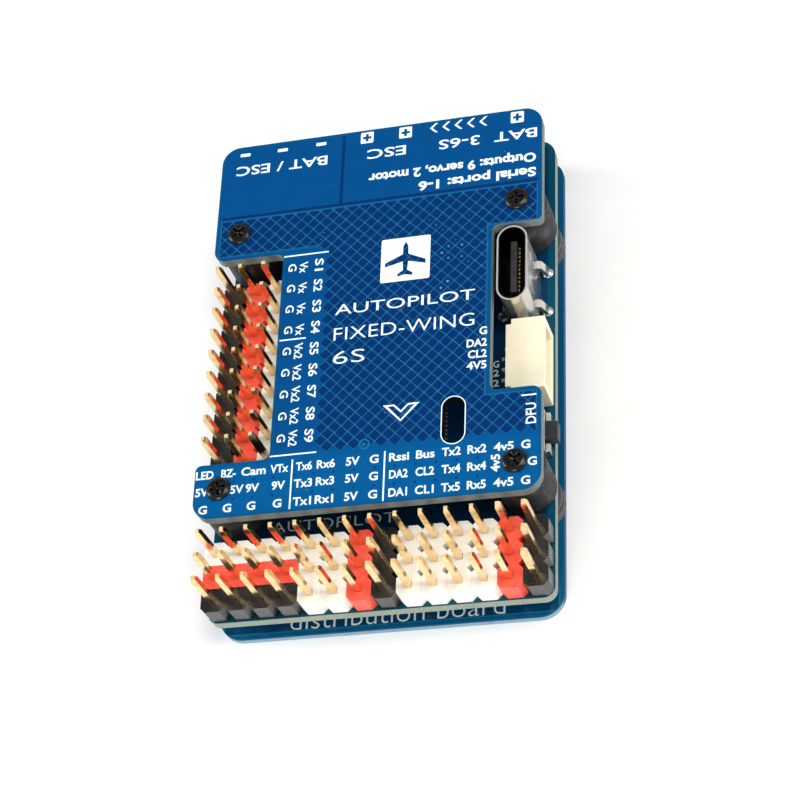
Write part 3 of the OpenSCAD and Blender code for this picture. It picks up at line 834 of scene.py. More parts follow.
class Kit:
    """Every finish of the board.

    Each starts with its name, two colours, roughness, gloss, size of grain and depth of relief in
    millimetres. What follows is the finish's own, in the order of its class.
    """

    plate = PlateFinish(
        "plate_mask", "004984", "004984", 0.34, 0.12, 0.25, 0.012, "002f66", "869291", "69757a",
        low=(-17.9, -18.5), high=(17.9, 26.7), clear="00507a", margin=0.3,
    )
    controller = BoardFinish(
        "controller_mask", "003458", "003458", 0.3, 0.2, 0.25, 0.01, "002a4e", "9aa692", "86928a",
        clear="005468", margin=0.8,
    )
    power = BorderedFinish(
        "power_mask", "004369", "004369", 0.3, 0.2, 0.25, 0.01, "00385c", "8fb0c4", "7a9cb2",
        low=(-18.0, -27.3), high=(18.0, 26.7), clear="005c86", margin=0.5,
    )
    ink = Ink("silkscreen_ink", "f4ffff", "e4f6fb", 0.6, 0.3, 0.2, 0.003)
    # On the moulded parts the edge colour and its share paint rubbing and highlight onto the rims.
    black_nylon = Moulded("header_nylon_black", "0e0d0d", "161515", 0.3, 0.9, 0.22, 0.01, "8a857c", 0.3, 0.3)
    red_nylon = Moulded("header_nylon_red", "fa4434", "ff6650", 0.4, 0.4, 0.22, 0.008, "ff9a8e", 0.35, 0.3)
    white_nylon = Moulded("header_nylon_white", "fbf8f0", "fffcf4", 0.45, 0.4, 0.22, 0.005, "ffffff", 0.3, 0.3)
    cream_nylon = Moulded("connector_nylon_cream", "f8eecd", "fdf3d6", 0.5, 0.3, 0.3, 0.004, "fffdf2", 0.3, 0.4)
    base_nylon = Moulded("base_nylon", "111214", "1a1b1d", 0.45, 0.4, 0.2, 0.005, "6b6b6b", 0.25, 0.2)
    tongue = Moulded("tongue_nylon", "2a2b2d", "3a3b3d", 0.35, 0.5, 0.2, 0.005, "b4b4b6", 0.6, 0.2)
    button = Moulded("button_nylon", "2b2f32", "363b3e", 0.5, 0.4, 0.2, 0.005, "7d8385", 0.35, 0.2)
    chip = Moulded("chip_epoxy", "17181a", "222426", 0.6, 0.35, 0.12, 0.008, "5a5c5e", 0.25, 0.0)
    ceramic = Moulded("capacitor_ceramic", "9c7a4c", "b59667", 0.55, 0.35, 0.12, 0.006, "d0b98c", 0.3, 0.2)
    ferrite = Moulded("inductor_ferrite", "3c3d3f", "4c4d50", 0.7, 0.3, 0.15, 0.012, "7d7e80", 0.35, 0.1)
    dark_rubber = Rubber("spacer_rubber_dark", "1d1d1f", "2c2c2f", 0.62, 0.35, 0.3, 0.012, "6f7073", 0.45)
    grey_rubber = Rubber("spacer_rubber_grey", "4a4b4e", "5d5e61", 0.62, 0.35, 0.3, 0.012, "98999b", 0.4)
    # The gold's orange tarnished patches are partly a painted reflection; its pale edges and less metallic caps
    # are painted highlight.
    gold = Metal(
        "pin_gold", "f2d090", "fce2b0", 0.14, 0.5, 0.5, 0.0001, "a8602c", 0.35, (1.0, 1.0, 0.1), 1.0,
        edge="fff0d0", wear_and_highlight=0.3, caps=0.8,
    )
    # Tin and steel have less metallic caps, a painted highlight on their tops.
    tin = Metal(
        "tin_plate", "e6e2d2", "f4f1e6", 0.36, 0.5, 0.4, 0.0003, "b5a586", 0.15, (1.0, 1.0, 0.3), 0.6, caps=0.5
    )
    solder = Metal(
        "solder_joint", "c4c6c8", "e2e3e4", 0.24, 0.5, 0.4, 0.0005, "8c8c8a", 0.15, (1.0, 1.0, 1.0), 0.9
    )
    steel = Metal(
        "pressed_steel", "dedad0", "f0ede4", 0.2, 0.5, 0.4, 0.0002, "a8987e", 0.1, (0.2, 0.2, 1.0), 1.0, caps=0.7
    )
    # The shell's rim is lightened by painted highlight; its mouth gets painted shade.
    shell = ShellMetal(
        "shell_steel", "cfcbc2", "e6e3dc", 0.16, 0.5, 0.6, 0.0002, "a8987e", 0.1, (0.2, 0.2, 1.0), 0.9,
        wear_and_highlight=0.9, caps=0.5,
    )
    # The screws' pale edges are painted highlight; their cross recesses get painted shade.
    screw = ScrewMetal(
        "screw_black", "161413", "22201e", 0.16, 0.5, 0.14, 0.001, "231e1a", 0.25, (1.0, 1.0, 1.0), 0.35,
        edge="c4c4c0", wear_and_highlight=0.4,
    )
    resin = Resin("light_resin", "e9edd6", "f6f4d8", 0.25, 0.5, 0.2, 0.002)
    sheet = Paper("studio_sheet", "fbfbfb", "ffffff", 0.85, 0.1, 1.0, 0.01)


# ---- modelling by hand ----


class Bench:
    """The modelling operations, on one piece at a time."""

    @staticmethod
    def clear() -> None:
        """Deselects everything."""
        if bpy.context.object and bpy.context.object.mode != "OBJECT":
            bpy.ops.object.mode_set(mode="OBJECT")
        bpy.ops.object.select_all(action="DESELECT")

    @staticmethod
    def take(piece: Object) -> None:
        """Makes the piece the only selected one, and active."""
        Bench.clear()
        piece.select_set(True)
        bpy.context.view_layer.objects.active = piece

    @staticmethod
    def edit(*kinds: str) -> None:
        """Goes into edit mode with nothing selected."""
        bpy.ops.object.mode_set(mode="EDIT")
        bpy.ops.mesh.select_mode(type=kinds[0] if kinds else "VERT")
        bpy.ops.mesh.select_all(action="DESELECT")

    @staticmethod
    def pick(piece: Object, kind: str, wanted: Callable[[object], bool]) -> None:
        """Selects only the vertices or faces that the test wants, while in edit mode."""
        bpy.ops.mesh.select_all(action="DESELECT")
        bpy.ops.object.mode_set(mode="OBJECT")
        for item in getattr(piece.data, kind):
            item.select = bool(wanted(item))
        bpy.ops.object.mode_set(mode="EDIT")

    @staticmethod
    def done(piece: Object, name: str, turn: float = 0.0, at: Sequence[float] = (0, 0, 0)) -> Object:
        """Names the piece and puts its place, in millimetres, into its mesh."""
        if piece.mode != "OBJECT":
            bpy.ops.object.mode_set(mode="OBJECT")
        spin = Matrix.Rotation(radians(turn), 4, "Z")
        piece.data.transform(Matrix.Translation(Vector(at) * MM) @ spin @ piece.matrix_basis)
        piece.matrix_basis = Matrix.Identity(4)
        piece.name = name
        piece.data.name = name
        return piece

    @staticmethod
    def twin(piece: Object, name: str, turn: float, at: Sequence[float]) -> Object:
        """Copies a finished piece, with its own mesh, to another place."""
        copy = bpy.data.objects.new(name, piece.data.copy())
        bpy.context.scene.collection.objects.link(copy)
        return Bench.done(copy, name, turn, at)

    @staticmethod
    def join(pieces: List[Object], name: str) -> Object:
        """Joins pieces into the first of them."""
        Bench.take(pieces[0])
        for piece in pieces:
            piece.select_set(True)
        if len(pieces) > 1:
            bpy.ops.object.join()
        return Bench.done(pieces[0], name)

    @staticmethod
    def array(
        model: Object, name: str, across: Sequence[float], along: Sequence[float], level: float
    ) -> Object:
        """Copies a model to every crossing of some X and Y places, and joins the copies.

        Args:
            model: the piece to copy, which is used up.
            name: name of the joined piece.
            across: the X places in millimetres.
            along: the Y places in millimetres.
            level: the height in millimetres.

        Returns:
            The joined piece.
        """
        copies = [Bench.twin(model, "copy", 0.0, (x, y, level)) for x in across for y in along]
        bpy.data.objects.remove(model)
        return Bench.join(copies, name)

    @staticmethod
    def modify(piece: Object, kind: str, **options: object) -> None:
        """Adds a modifier, sets it and applies it."""
        Bench.take(piece)
        modifier = piece.modifiers.new(kind.lower(), kind)
        for name, value in options.items():
            setattr(modifier, name, value)
        bpy.ops.object.modifier_apply(modifier=modifier.name)

    @staticmethod
    def soften(piece: Object, width: float, steps: int = 2, angle: float = 35.0) -> None:
        """Rounds the sharp edges by a width in millimetres and shades them."""
        Bench.take(piece)
        bpy.ops.object.shade_smooth()
        Bench.modify(
            piece, "BEVEL", width=width * MM, segments=steps, limit_method="ANGLE",
            angle_limit=radians(angle), harden_normals=True,
        )

    @staticmethod
    def refined(node: str, name: str, width: float, steps: int = 2, flat: float = 1.0) -> Object:
        """Copies a CAD node's mesh, merges it and rounds its edges.

        Args:
            node: the CAD node.
            name: the new piece's name.
            width: how far the edges are rounded, in millimetres.
            steps: how many faces the rounding has.
            flat: the angle in degrees under which faces are one face.

        Returns:
            The new piece, which stands for the node.
        """
        piece = bpy.data.objects.new(name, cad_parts[node].data.copy())
        bpy.context.scene.collection.objects.link(piece)
        Bench.take(piece)
        Bench.edit()
        bpy.ops.mesh.select_all(action="SELECT")
        bpy.ops.mesh.remove_doubles(threshold=0.0005 * MM)
        bpy.ops.mesh.dissolve_limited(angle_limit=radians(flat))
        bpy.ops.object.mode_set(mode="OBJECT")
        if piece.data.has_custom_normals:
            bpy.ops.mesh.customdata_custom_splitnormals_clear()
        if width > 0:
            Bench.soften(piece, width, steps)
        else:
            bpy.ops.object.shade_smooth_by_angle(angle=radians(35))
        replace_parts(Bench.done(piece, name), node)
        return piece

    @staticmethod
    def turned(name: str, rings: Sequence[Tuple[float, float]], sides: int = 24) -> Object:
        """Builds a round piece from a circle that is extruded and scaled from ring to ring.

        Args:
            name: the piece's name.
            rings: radius and height of each ring in millimetres, from the bottom up.
            sides: how many sides the circle has.

        Returns:
            The closed piece, standing on the origin.
        """
        Bench.clear()
        radius, level = rings[0]
        bpy.ops.mesh.primitive_circle_add(
            vertices=sides, radius=radius * MM, location=(0, 0, level * MM), fill_type="NGON"
        )
        piece = bpy.context.object
        bpy.ops.object.transform_apply(location=True, rotation=True, scale=True)
        bpy.ops.object.mode_set(mode="EDIT")
        bpy.ops.mesh.select_all(action="SELECT")
        for next_radius, next_level in rings[1:]:
            rise = (0, 0, (next_level - level) * MM)
            bpy.ops.mesh.extrude_region_move(TRANSFORM_OT_translate={"value": rise})
            grow = next_radius / radius
            bpy.ops.transform.resize(value=(grow, grow, 1), center_override=(0, 0, next_level * MM))
            radius, level = next_radius, next_level
        bpy.ops.mesh.select_all(action="SELECT")
        bpy.ops.mesh.normals_make_consistent(inside=False)
        bpy.ops.object.mode_set(mode="OBJECT")
        bpy.ops.object.shade_smooth_by_angle(angle=radians(40))
        return Bench.done(piece, name)

    @staticmethod
    def block(name: str, size: Sequence[float], at: Sequence[float], bevel: float = 0.03) -> Object:
        """Adds a block by size and middle, in millimetres, and rounds its edges."""
        Bench.clear()
        bpy.ops.mesh.primitive_cube_add(size=1, location=Vector(at) * MM, scale=Vector(size) * MM)
        piece = Bench.done(bpy.context.object, name)
        Bench.soften(piece, bevel)
        return piece


def outfit(piece: Object, finish: Finish, body: str = FIXED_BODY) -> Object:
    """Gives a piece its finish and the body it rides on."""
    finish.apply(piece)
    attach(piece, body)
    LOG.info("%-28s %6d faces on %s", piece.name, len(piece.data.polygons), body)
    return piece


def refine(*rows: Tuple[object, ...]) -> None:
    """Refines CAD nodes, by rows of node, rounding in millimetres, finish, slot and maybe steps."""
    for node, width, finish, slot, *steps in rows:
        outfit(Bench.refined(node, f"{node}_finished", width, *steps), finish)


# ---- printed marks ----


@dataclass(frozen=True)
class Word:
    """One printed word: its middle, cap height and, where given, its width, all in millimetres."""

    text: str
    x: float
    y: float
    cap: float = 1.0
    width: float = 0.0
    turn: float = 0.0
    weight: float = 0.02


class Print:
    """Silkscreen marks at one level, gathered into one piece of thin solid shapes."""

    CAP_SHARE = 0.682
    THICK = 0.012

    def __init__(self, name: str, level: float) -> None:
        """Args: name of the piece, and the level of the surface in millimetres."""
        self.name = name
        self.level = level
        self.parts: List[Object] = []

    def settle(self, drawn: Object, shift: Matrix, turn: float = 0.0, at: Point = (0.0, 0.0)) -> None:
        """Makes a text or flat curve a mesh, shifts it, then places it on the surface."""
        Bench.take(drawn)
        bpy.ops.object.convert(target="MESH")
        mark = bpy.context.object
        mark.data.transform(shift)
        self.parts.append(Bench.done(mark, self.name, turn, (*at, self.level)))

    def word(self, word: Word) -> None:
        """Prints one word, centred on its middle."""
        Bench.clear()
        bpy.ops.object.text_add()
        drawn = bpy.context.object
        drawn.data.body = word.text
        drawn.data.size = word.cap / self.CAP_SHARE * MM
        drawn.data.resolution_u = 3
        drawn.data.extrude = self.THICK * MM
        drawn.data.offset = word.weight * MM
        bpy.context.view_layer.update()
        low, high = Vector(drawn.bound_box[0]), Vector(drawn.bound_box[6])
        stretch = word.width * MM / (high.x - low.x) if word.width else 1.0
        middle = ((low.x + high.x) / 2, word.cap * MM / 2)
        shift = Matrix.Diagonal((stretch, 1, 1, 1)) @ Matrix.Translation((-middle[0], -middle[1], 0))
        self.settle(drawn, shift, word.turn, (word.x, word.y))

    def shape(self, *outlines: Outline) -> None:
        """Prints a filled outline; outlines inside it are holes. Points are millimetres."""
        curve = bpy.data.curves.new(self.name, "CURVE")
        curve.dimensions = "2D"
        curve.fill_mode = "BOTH"
        curve.extrude = self.THICK * MM
        for outline in outlines:
            line = curve.splines.new("POLY")
            line.points.add(len(outline) - 1)
            for spot, (x, y) in zip(line.points, outline):
                spot.co = (x * MM, y * MM, 0, 1)
            line.use_cyclic_u = True
        drawn = bpy.data.objects.new(self.name, curve)
        bpy.context.scene.collection.objects.link(drawn)
        self.settle(drawn, Matrix.Identity(4))

    def bar(self, a: Point, b: Point, width: float = 0.16) -> None:
        """Prints a straight rule from a to b."""
        run = Vector(b) - Vector(a)
        side = Vector((-run.y, run.x)).normalized() * width / 2
        ends = [Vector(a) + side, Vector(b) + side, Vector(b) - side, Vector(a) - side]
        self.shape([(p.x, p.y) for p in ends])

    def finish(self, finish: Finish, slot: str) -> Object:
        """Joins the marks and dresses them."""
        piece = Bench.join(self.parts, self.name)
        Bench.take(piece)
        Bench.edit()
        bpy.ops.mesh.select_all(action="SELECT")
        bpy.ops.mesh.remove_doubles(threshold=0.0002 * MM)
        bpy.ops.mesh.normals_make_consistent(inside=False)
        bpy.ops.object.mode_set(mode="OBJECT")
        bpy.ops.object.shade_flat()
        return outfit(piece, finish)


def rounded(size: Point, at: Point, radius: float, turn: float = 0.0, steps: int = 4) -> Outline:
    """Outline of a rectangle with round corners, by size and middle, turned about its middle."""
    half = (size[0] / 2 - radius, size[1] / 2 - radius)
    points: Outline = []
    for i, (sx, sy) in enumerate(((1, 1), (-1, 1), (-1, -1), (1, -1))):
        for step in range(steps + 1):
            angle = (i + step / steps) * pi / 2
            x, y = sx * half[0] + radius * cos(angle), sy * half[1] + radius * sin(angle)
            c, s = cos(radians(turn)), sin(radians(turn))
            points.append((at[0] + c * x - s * y, at[1] + s * x + c * y))
    return points


def moved(points: Sequence[Point], at: Point, scale: float = 1.0, turn: float = 0.0) -> Outline:
    """Scales, turns and moves an outline."""
    c, s = cos(radians(turn)) * scale, sin(radians(turn)) * scale
    return [(at[0] + c * x - s * y, at[1] + s * x + c * y) for x, y in points]


def chevron(apex: Point, arm: Point, thick: float, turn: float = 0.0) -> Outline:
    """Outline of an open arrow head that points along -Y before it is turned.

    Args:
        apex: the point of the arrow.
        arm: how far each arm reaches sideways and back.
        thick: how thick the arms are, measured back from the apex.
        turn: turn about the apex, in degrees.

    Returns:
        The six points of the arrow.
    """
    w, h = arm
    return moved([(0, 0), (w, h), (w, h + thick), (0, thick), (-w, h + thick), (-w, h)], apex, 1.0, turn)


# ---- the sub-assemblies ----


@dataclass
class Studio:
    """The sheet under the board, the soft lights and the camera, in metres."""

    reach: float = 3.0
    wave_start: float = 0.45
    wave_rise: float = 0.4
    eye: Tuple[float, float, float] = (0.05838, -0.11168, 0.19368)
    right: Tuple[float, float, float] = (0.9622, 0.0340, -0.2704)
    down: Tuple[float, float, float] = (-0.1015, -0.8760, -0.4714)
    ahead: Tuple[float, float, float] = (-0.2529, 0.4810, -0.8394)
    lens: float = 97.67
    sensor: float = 36.0
    sky: float = 0.44
    shaded_sky: float = 0.1
    flag: Tuple[float, float, float] = (-0.2529, 0.4810, 0.8394)

    def build(self) -> None:
        """Makes the sheet, lights and camera."""
        self.sheet()
        self.lights()
        self.camera()

    def sheet(self) -> None:
        """A wide level sheet with a soft wave far from the board."""
        Bench.clear()
        bpy.ops.mesh.primitive_plane_add(size=self.reach, location=(0, 0, -0.00002))
        sheet = Bench.done(bpy.context.object, "studio_sheet")
        Bench.take(sheet)
        Bench.edit()
        bpy.ops.mesh.select_all(action="SELECT")
        bpy.ops.mesh.subdivide(number_cuts=6)
        Bench.pick(sheet, "vertices", lambda v: v.co.y > self.reach * self.wave_start)
        bpy.ops.transform.translate(value=(0, 0, self.wave_rise))
        bpy.ops.object.mode_set(mode="OBJECT")
        bpy.ops.object.shade_smooth()
        Kit.sheet.apply(sheet)

    def soft_box(
        self, name: str, at: Sequence[float], power: float, colour: str = "ffffff", size: float = 0.3
    ) -> None:
        """Adds a square area light that looks at the board, by its place and side in metres."""
        Bench.clear()
        bpy.ops.object.light_add(type="AREA", location=at)
        light = bpy.context.object
        light.name = name
        light.data.size = size
        light.data.energy = power
        light.data.color = tint(colour)[:3]
        light.rotation_euler = (-Vector(at)).to_track_quat("-Z", "Y").to_euler()

    def lights(self) -> None:
        """A pale sky with a dark flag over the rear, a high key and low fills all round."""
        world = bpy.data.worlds.new("studio_sky")
        bpy.context.scene.world = world
        world.use_nodes = True
        g = Graph(world.node_tree)
        sky = world.node_tree.nodes.new("ShaderNodeBackground")
        end = world.node_tree.nodes.new("ShaderNodeOutputWorld")
        world.node_tree.links.new(sky.outputs[0], end.inputs[0])
        toward = g.vector("DOT_PRODUCT", g.add("ShaderNodeTexCoord", {}, 0), self.flag, 1)
        g.feed(sky.inputs[0], tint("fbfcff"))
        g.feed(sky.inputs[1], g.smooth(toward, 0.8, 0.97, self.sky, self.shaded_sky))
        self.soft_box("key_high", (0.24, 0.08, 0.62), 2.0, "fffcf6", 0.34)
        self.soft_box("fill_front", (-0.08, -0.62, 0.3), 2.1, "fffaf2")
        self.soft_box("fill_right", (0.6, -0.05, 0.34), 1.3)
        self.soft_box("fill_left", (-0.62, 0.05, 0.34), 3.0, "f4f8ff")

    def camera(self) -> None:
        """The camera, by its own axes."""
        lens = bpy.data.cameras.new("camera")
        lens.lens = self.lens
        lens.sensor_width = self.sensor
        lens.clip_start = 0.005
        lens.clip_end = 20.0
        camera = bpy.data.objects.new("camera", lens)
        bpy.context.scene.collection.objects.link(camera)
        axes = [Vector(self.right), -Vector(self.down), -Vector(self.ahead)]
        turn = Matrix([[axis[i] for axis in axes] for i in range(3)]).to_4x4()
        camera.matrix_world = Matrix.Translation(Vector(self.eye)) @ turn
        bpy.context.scene.camera = camera
        bpy.context.scene.view_settings.view_transform = "Standard"


@dataclass
class LabelPlate:
    """The printed top plate: its mask and every mark on it."""

    column_x: float = -16.51
    servo_y: float = 10.16
    emblem: Point = (3.43, 9.55)
    emblem_size: float = 5.3
    window: Point = (9.0, -10.05)
    arrow: Point = (3.56, -9.57)
    window_size: Point = (2.3, 5.2)
    wide: Dict[str, float] = field(default_factory=lambda: {"Cam": 2.6, "BZ-": 1.55, "4v5": 2.0, "Tx6": 1.7})
    level: float = field(init=False)

    def __post_init__(self) -> None:
        """Takes the level of the printed side from the frame."""
        self.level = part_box("label_plate")[1].z / MM

    def build(self) -> None:
        """Dresses the plate and prints it."""
        Kit.plate.apply(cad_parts["label_plate"])
        for marks in (self.battery_marks, self.servo_marks, self.front_marks, self.titles, self.emblem_mark):
            marks().finish(Kit.ink, "plate_blue")

    def battery_marks(self) -> Print:
        """Polarity squares, flow arrows and captions at the battery end, read from the rear."""
        marks = Print("marks_battery_end", self.level)
        for x, y in ((-15.3, 25.6), (-11.0, 25.6), (-6.6, 25.7)):
            marks.shape(rounded((1.15, 0.4), (x, y), 0.08))
        quarter = [(1, 1), (1, 3), (-1, 3)]
        plus = [spot for turn in range(4) for spot in moved(quarter, (0, 0), 1.0, turn * 90.0)]
        for x in (-1.4, 2.9, 15.2):
            marks.shape(rounded((1.42, 1.42), (x, 25.7), 0.12), moved(plus, (x, 25.7), 0.16))
        for i in range(5):
            marks.shape(chevron((5.6 + i * 1.36, 25.78), (0.6, 0.62), 0.28, -90.0))
        for word in (
            Word("BAT / ESC", -11.0, 23.5, 1.15, 10.4, 180.0),
            Word("ESC", 0.85, 23.45, 1.15, 4.3, 180.0),
            Word("BAT  3-6S", 12.0, 23.45, 1.15, 10.7, 180.0),
            Word("Outputs: 9 servo, 2 motor", 8.1, 20.3, 1.05, 18.3, 180.0, 0.05),
            Word("Serial ports: 1-6", 10.9, 18.45, 1.05, 12.7, 180.0, 0.05),
        ):
            marks.word(word)
        return marks

    def servo_marks(self) -> Print:
        """Labels of the nine servo outputs, read from the left, and their rules."""
        marks = Print("marks_servo_rows", self.level)
        for i in range(9):
            y = self.servo_y - i * PIN_PITCH
            supply = "Vx" if i < 4 else "Vx2"
            marks.word(Word(f"S{i + 1}", -6.0, y, 0.88, 1.5, -90.0))
            marks.word(Word(supply, -7.7, y - 0.1, 0.85, 1.35 if i < 4 else 1.85, -90.0))
            marks.word(Word("G", -8.95, y, 0.85, 0.9, -90.0))
        for start, end, y in ((-9.98, -5.02, 11.65), (-9.83, -6.97, 1.36), (-10.0, -5.1, -12.12)):
            marks.bar((start, y), (end, y))
        return marks

    def front_marks(self) -> Print:
        """Three rows of labels over the front header, and the ones by the side connector."""
        marks = Print("marks_front_rows", self.level)
        rows = (
            (-13.55, "LED BZ- Cam VTx Tx6 Rx6 5V G Rssi Bus Tx2 Rx2 4v5 G"),
            (-15.45, "5V 5V 9V 9V Tx3 Rx3 5V G DA2 CL2 Tx4 Rx4 - G"),
            (-17.45, "G G G G Tx1 Rx1 5V G DA1 CL1 Tx5 Rx5 4v5 G"),
        )
        drift = (-0.25, -0.2, -0.2, 0.0, 0.05, -0.2, 0.05, -0.27, -0.25, -0.1, 0.0, 0.05, 0.2, -0.15)
        moves = {(0, 0): -0.33, (0, 1): -0.33, (1, 0): -0.5, (1, 1): 0.7, (1, 13): 0.5}
        widths = {1: 0.92, 2: 1.4, 3: 1.9, 4: 2.05}
        for row, (y, line) in enumerate(rows):
            for column, text in enumerate(line.split()):
                if text == "-":
                    continue
                x = self.column_x + column * PIN_PITCH + moves.get((row, column), drift[column])
                marks.word(Word(text, x, y, 0.86, self.wide.get(text, widths[len(text)]), 0.0, 0.03))
        marks.word(Word("4v5", 13.35, -15.3, 0.85, 1.9, 90.0, 0.03))
        marks.bar((-7.56, -12.7), (-7.56, -18.2))
        marks.bar((2.08, -12.8), (2.08, -18.3))
        side_rows = (("G", -0.15, 0.8), ("DA2", -1.5, 2.1), ("CL2", -2.8, 1.95), ("4V5", -4.1, 2.05))
        for text, y, wide in side_rows:
            marks.word(Word(text, 12.3 - wide / 2, y, 0.85, wide, 0.0, 0.03))
        marks.word(Word("DFU", 16.86, -10.17, 1.0, 2.3, 90.0))
        marks.bar((15.88, -8.1), (17.4, -8.1))
        return marks

    def titles(self) -> Print:
        """What the board is, in three lines."""
        marks = Print("marks_title", self.level)
        marks.word(Word("AUTOPILOT", 3.5, 4.3, 1.2, 14.9, 0.0, 0.0))
        marks.word(Word("FIXED-WING", 3.5, 1.35, 1.5, 14.9, 0.0, -0.02))
        marks.word(Word("6S", -2.2, -1.45, 1.5, 3.4, 0.0, -0.02))
        return marks

    def emblem_mark(self) -> Print:
        """A white square with a plain aeroplane left open, the front arrow and the window's ring."""
        marks = Print("marks_emblem", self.level)
        half = [
            (0.0, 1.9), (0.24, 1.45), (0.27, 0.55), (1.95, -0.25), (1.95, -0.7),
            (0.27, -0.25), (0.2, -1.2), (0.72, -1.55), (0.72, -1.85), (0.0, -1.68),
        ]
        plane = half + [(-x, y) for x, y in reversed(half[1:-1])]
        side = self.emblem_size
        marks.shape(rounded((side, side), self.emblem, 0.22), moved(plane, self.emblem, 1.12))
        outer = [(-1.9, 1.95), (-0.72, 1.95), (0.0, 1.2), (0.72, 1.95), (1.9, 1.95), (0.0, -0.05)]
        inner = [(-1.4, 1.77), (-0.79, 1.77), (0.0, 0.96), (0.79, 1.77), (1.4, 1.77), (0.0, 0.2)]
        marks.shape(moved(outer, self.arrow), moved(inner, self.arrow))
        w, length = self.window_size
        ring = 0.12
        marks.shape(
            rounded((w + 2 * ring, length + 2 * ring), self.window, w / 2 + ring, 0.0, 10),
            rounded((w + 0.03, length + 0.03), self.window, w / 2, 0.0, 10),
        )
        return marks


@dataclass
class PlateScrews:
    """Four black pan-head screws with a cross recess, threaded into the rubber spacers."""

    head_r: float = 1.3
    head_h: float = 0.45
    core_r: float = 0.62
    thread_r: float = 0.77
    length: float = 4.0
    thread_pitch: float = 0.4
    turns: Tuple[float, ...] = (12.0, 38.0, 44.0, 4.0)

    def build(self) -> Object:
        """Models one screw, then copies it to the other corners."""
        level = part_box("label_plate")[1].z / MM
        rings: List[Point] = [(0.25, -self.length)]
        for i in range(int((self.length - 0.6) / self.thread_pitch)):
            z = -self.length + 0.2 + i * self.thread_pitch
            rings += [(self.core_r, z), (self.thread_r, z + 0.12), (self.core_r, z + 0.24)]
        rings += [(self.core_r, -0.05), (self.thread_r, 0.0), (self.head_r - 0.04, 0.0), (self.head_r, 0.05)]
        rings += [(self.head_r, 0.14), (self.head_r * 0.94, 0.27), (self.head_r * 0.8, 0.38)]
        rings += [(self.head_r * 0.6, 0.435), (self.head_r * 0.3, self.head_h)]
        screw = Bench.turned("plate_screws_finished", rings, 32)
        recess = Bench.block("recess", (0.42, 1.75, 0.5), (0, 0, self.head_h - 0.08), 0.02)
        other = Bench.twin(recess, "recess_across", 90.0, (0, 0, 0))
        dimple = Bench.turned("recess_middle", [(0.1, self.head_h - 0.5), (0.42, self.head_h + 0.1)], 12)
        for cutter in (recess, other, dimple):
            Bench.modify(screw, "BOOLEAN", operation="DIFFERENCE", solver="EXACT", object=cutter)
            bpy.data.objects.remove(cutter)
        Bench.take(screw)
        bpy.ops.object.shade_smooth_by_angle(angle=radians(35))
        spots = [(x * HOLE_PITCH / 2, y * HOLE_PITCH / 2, level) for y in (-1, 1) for x in (-1, 1)]
        copies = [Bench.twin(screw, "screw", turn, spot) for spot, turn in zip(spots, self.turns)]
        bpy.data.objects.remove(screw)
        piece = Bench.join(copies, "plate_screws_finished")
        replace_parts(piece, "plate_screws")
        return outfit(piece, Kit.screw)


@dataclass
class SpacerStacks:
    """The rubber spacers, washers and grommets at the four corners."""

    bevel: float = 0.12
    washer_bevel: float = 0.08
    grommet_bevel: float = 0.1

    def build(self) -> None:
        """Rounds the rubber edges."""
        refine(
            ("upper_spacers", self.bevel * 2, Kit.dark_rubber, "dark_rubber", 3),
            ("lower_spacers", self.bevel, Kit.grey_rubber, "grey_rubber", 3),
            ("spacer_washers", self.washer_bevel, Kit.dark_rubber, "dark_rubber", 3),
            ("mounting_grommets", self.grommet_bevel, Kit.dark_rubber, "dark_rubber", 3),
        )


class StripColour(Enum):
    """The colours a header strip is moulded in, by their record slots."""

    BLACK = "black_header"
    RED = "red_header"
    WHITE = "white_header"


@dataclass
class HeaderBlocks:
    """Every pin header: its coloured strips, its gold pins and the solder under the board."""

    bevel: float = 0.04
    pin_bevel: float = 0.025
    joint_r: float = 0.7
    pin_r: float = 0.4
    strips: Dict[str, StripColour] = field(default_factory=lambda: {
        "ground_strip": StripColour.BLACK, "power_strip": StripColour.RED,
        "signal_strip": StripColour.WHITE, "tx_strip": StripColour.WHITE, "rx_strip": StripColour.WHITE,
        "strip_1": StripColour.WHITE, "strip_2": StripColour.WHITE,
        "strip_3": StripColour.WHITE, "strip_4": StripColour.WHITE,
    })

    def build(self) -> None:
        """Dresses strips and pins, then adds the solder joints."""
        finishes = {
            StripColour.BLACK: Kit.black_nylon,
            StripColour.RED: Kit.red_nylon,
            StripColour.WHITE: Kit.white_nylon,
        }
        for node in sorted(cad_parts):
            for ending, colour in self.strips.items():
                if node.endswith(ending):
                    refine((node, self.bevel, finishes[colour], colour.value))
        for group in ("servo", "aux", "uart", "signal"):
            node = f"{group}_header_pins"
            refine((node, self.pin_bevel, Kit.gold, "gold_pin"))
            self.joints(group, node)

    def joints(self, group: str, node: str) -> Object:
        """Adds a solder cone round each pin, under the controller board.

        Args:
            group: the header's name.
            node: the CAD node with its pins.

        Returns:
            The joined joints.
        """
        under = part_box("controller_board")[0].z / MM
        low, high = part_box(node)
        spots = [
            [(a + b) / 2 / MM + (i - (count - 1) / 2) * PIN_PITCH for i in range(count)]
            for a, b, count in ((a, b, round((b - a) / MM / PIN_PITCH) + 1) for a, b in zip(low.xy, high.xy))
        ]
        pin_r, joint_r = self.pin_r, self.joint_r
        cone = [(pin_r, -0.85), (pin_r * 1.15, -0.55), (joint_r * 0.8, -0.2), (joint_r, -0.02)]
        joints = Bench.array(Bench.turned("joint", cone, 12), f"{group}_solder_joints", *spots, under)
        return outfit(joints, Kit.solder)


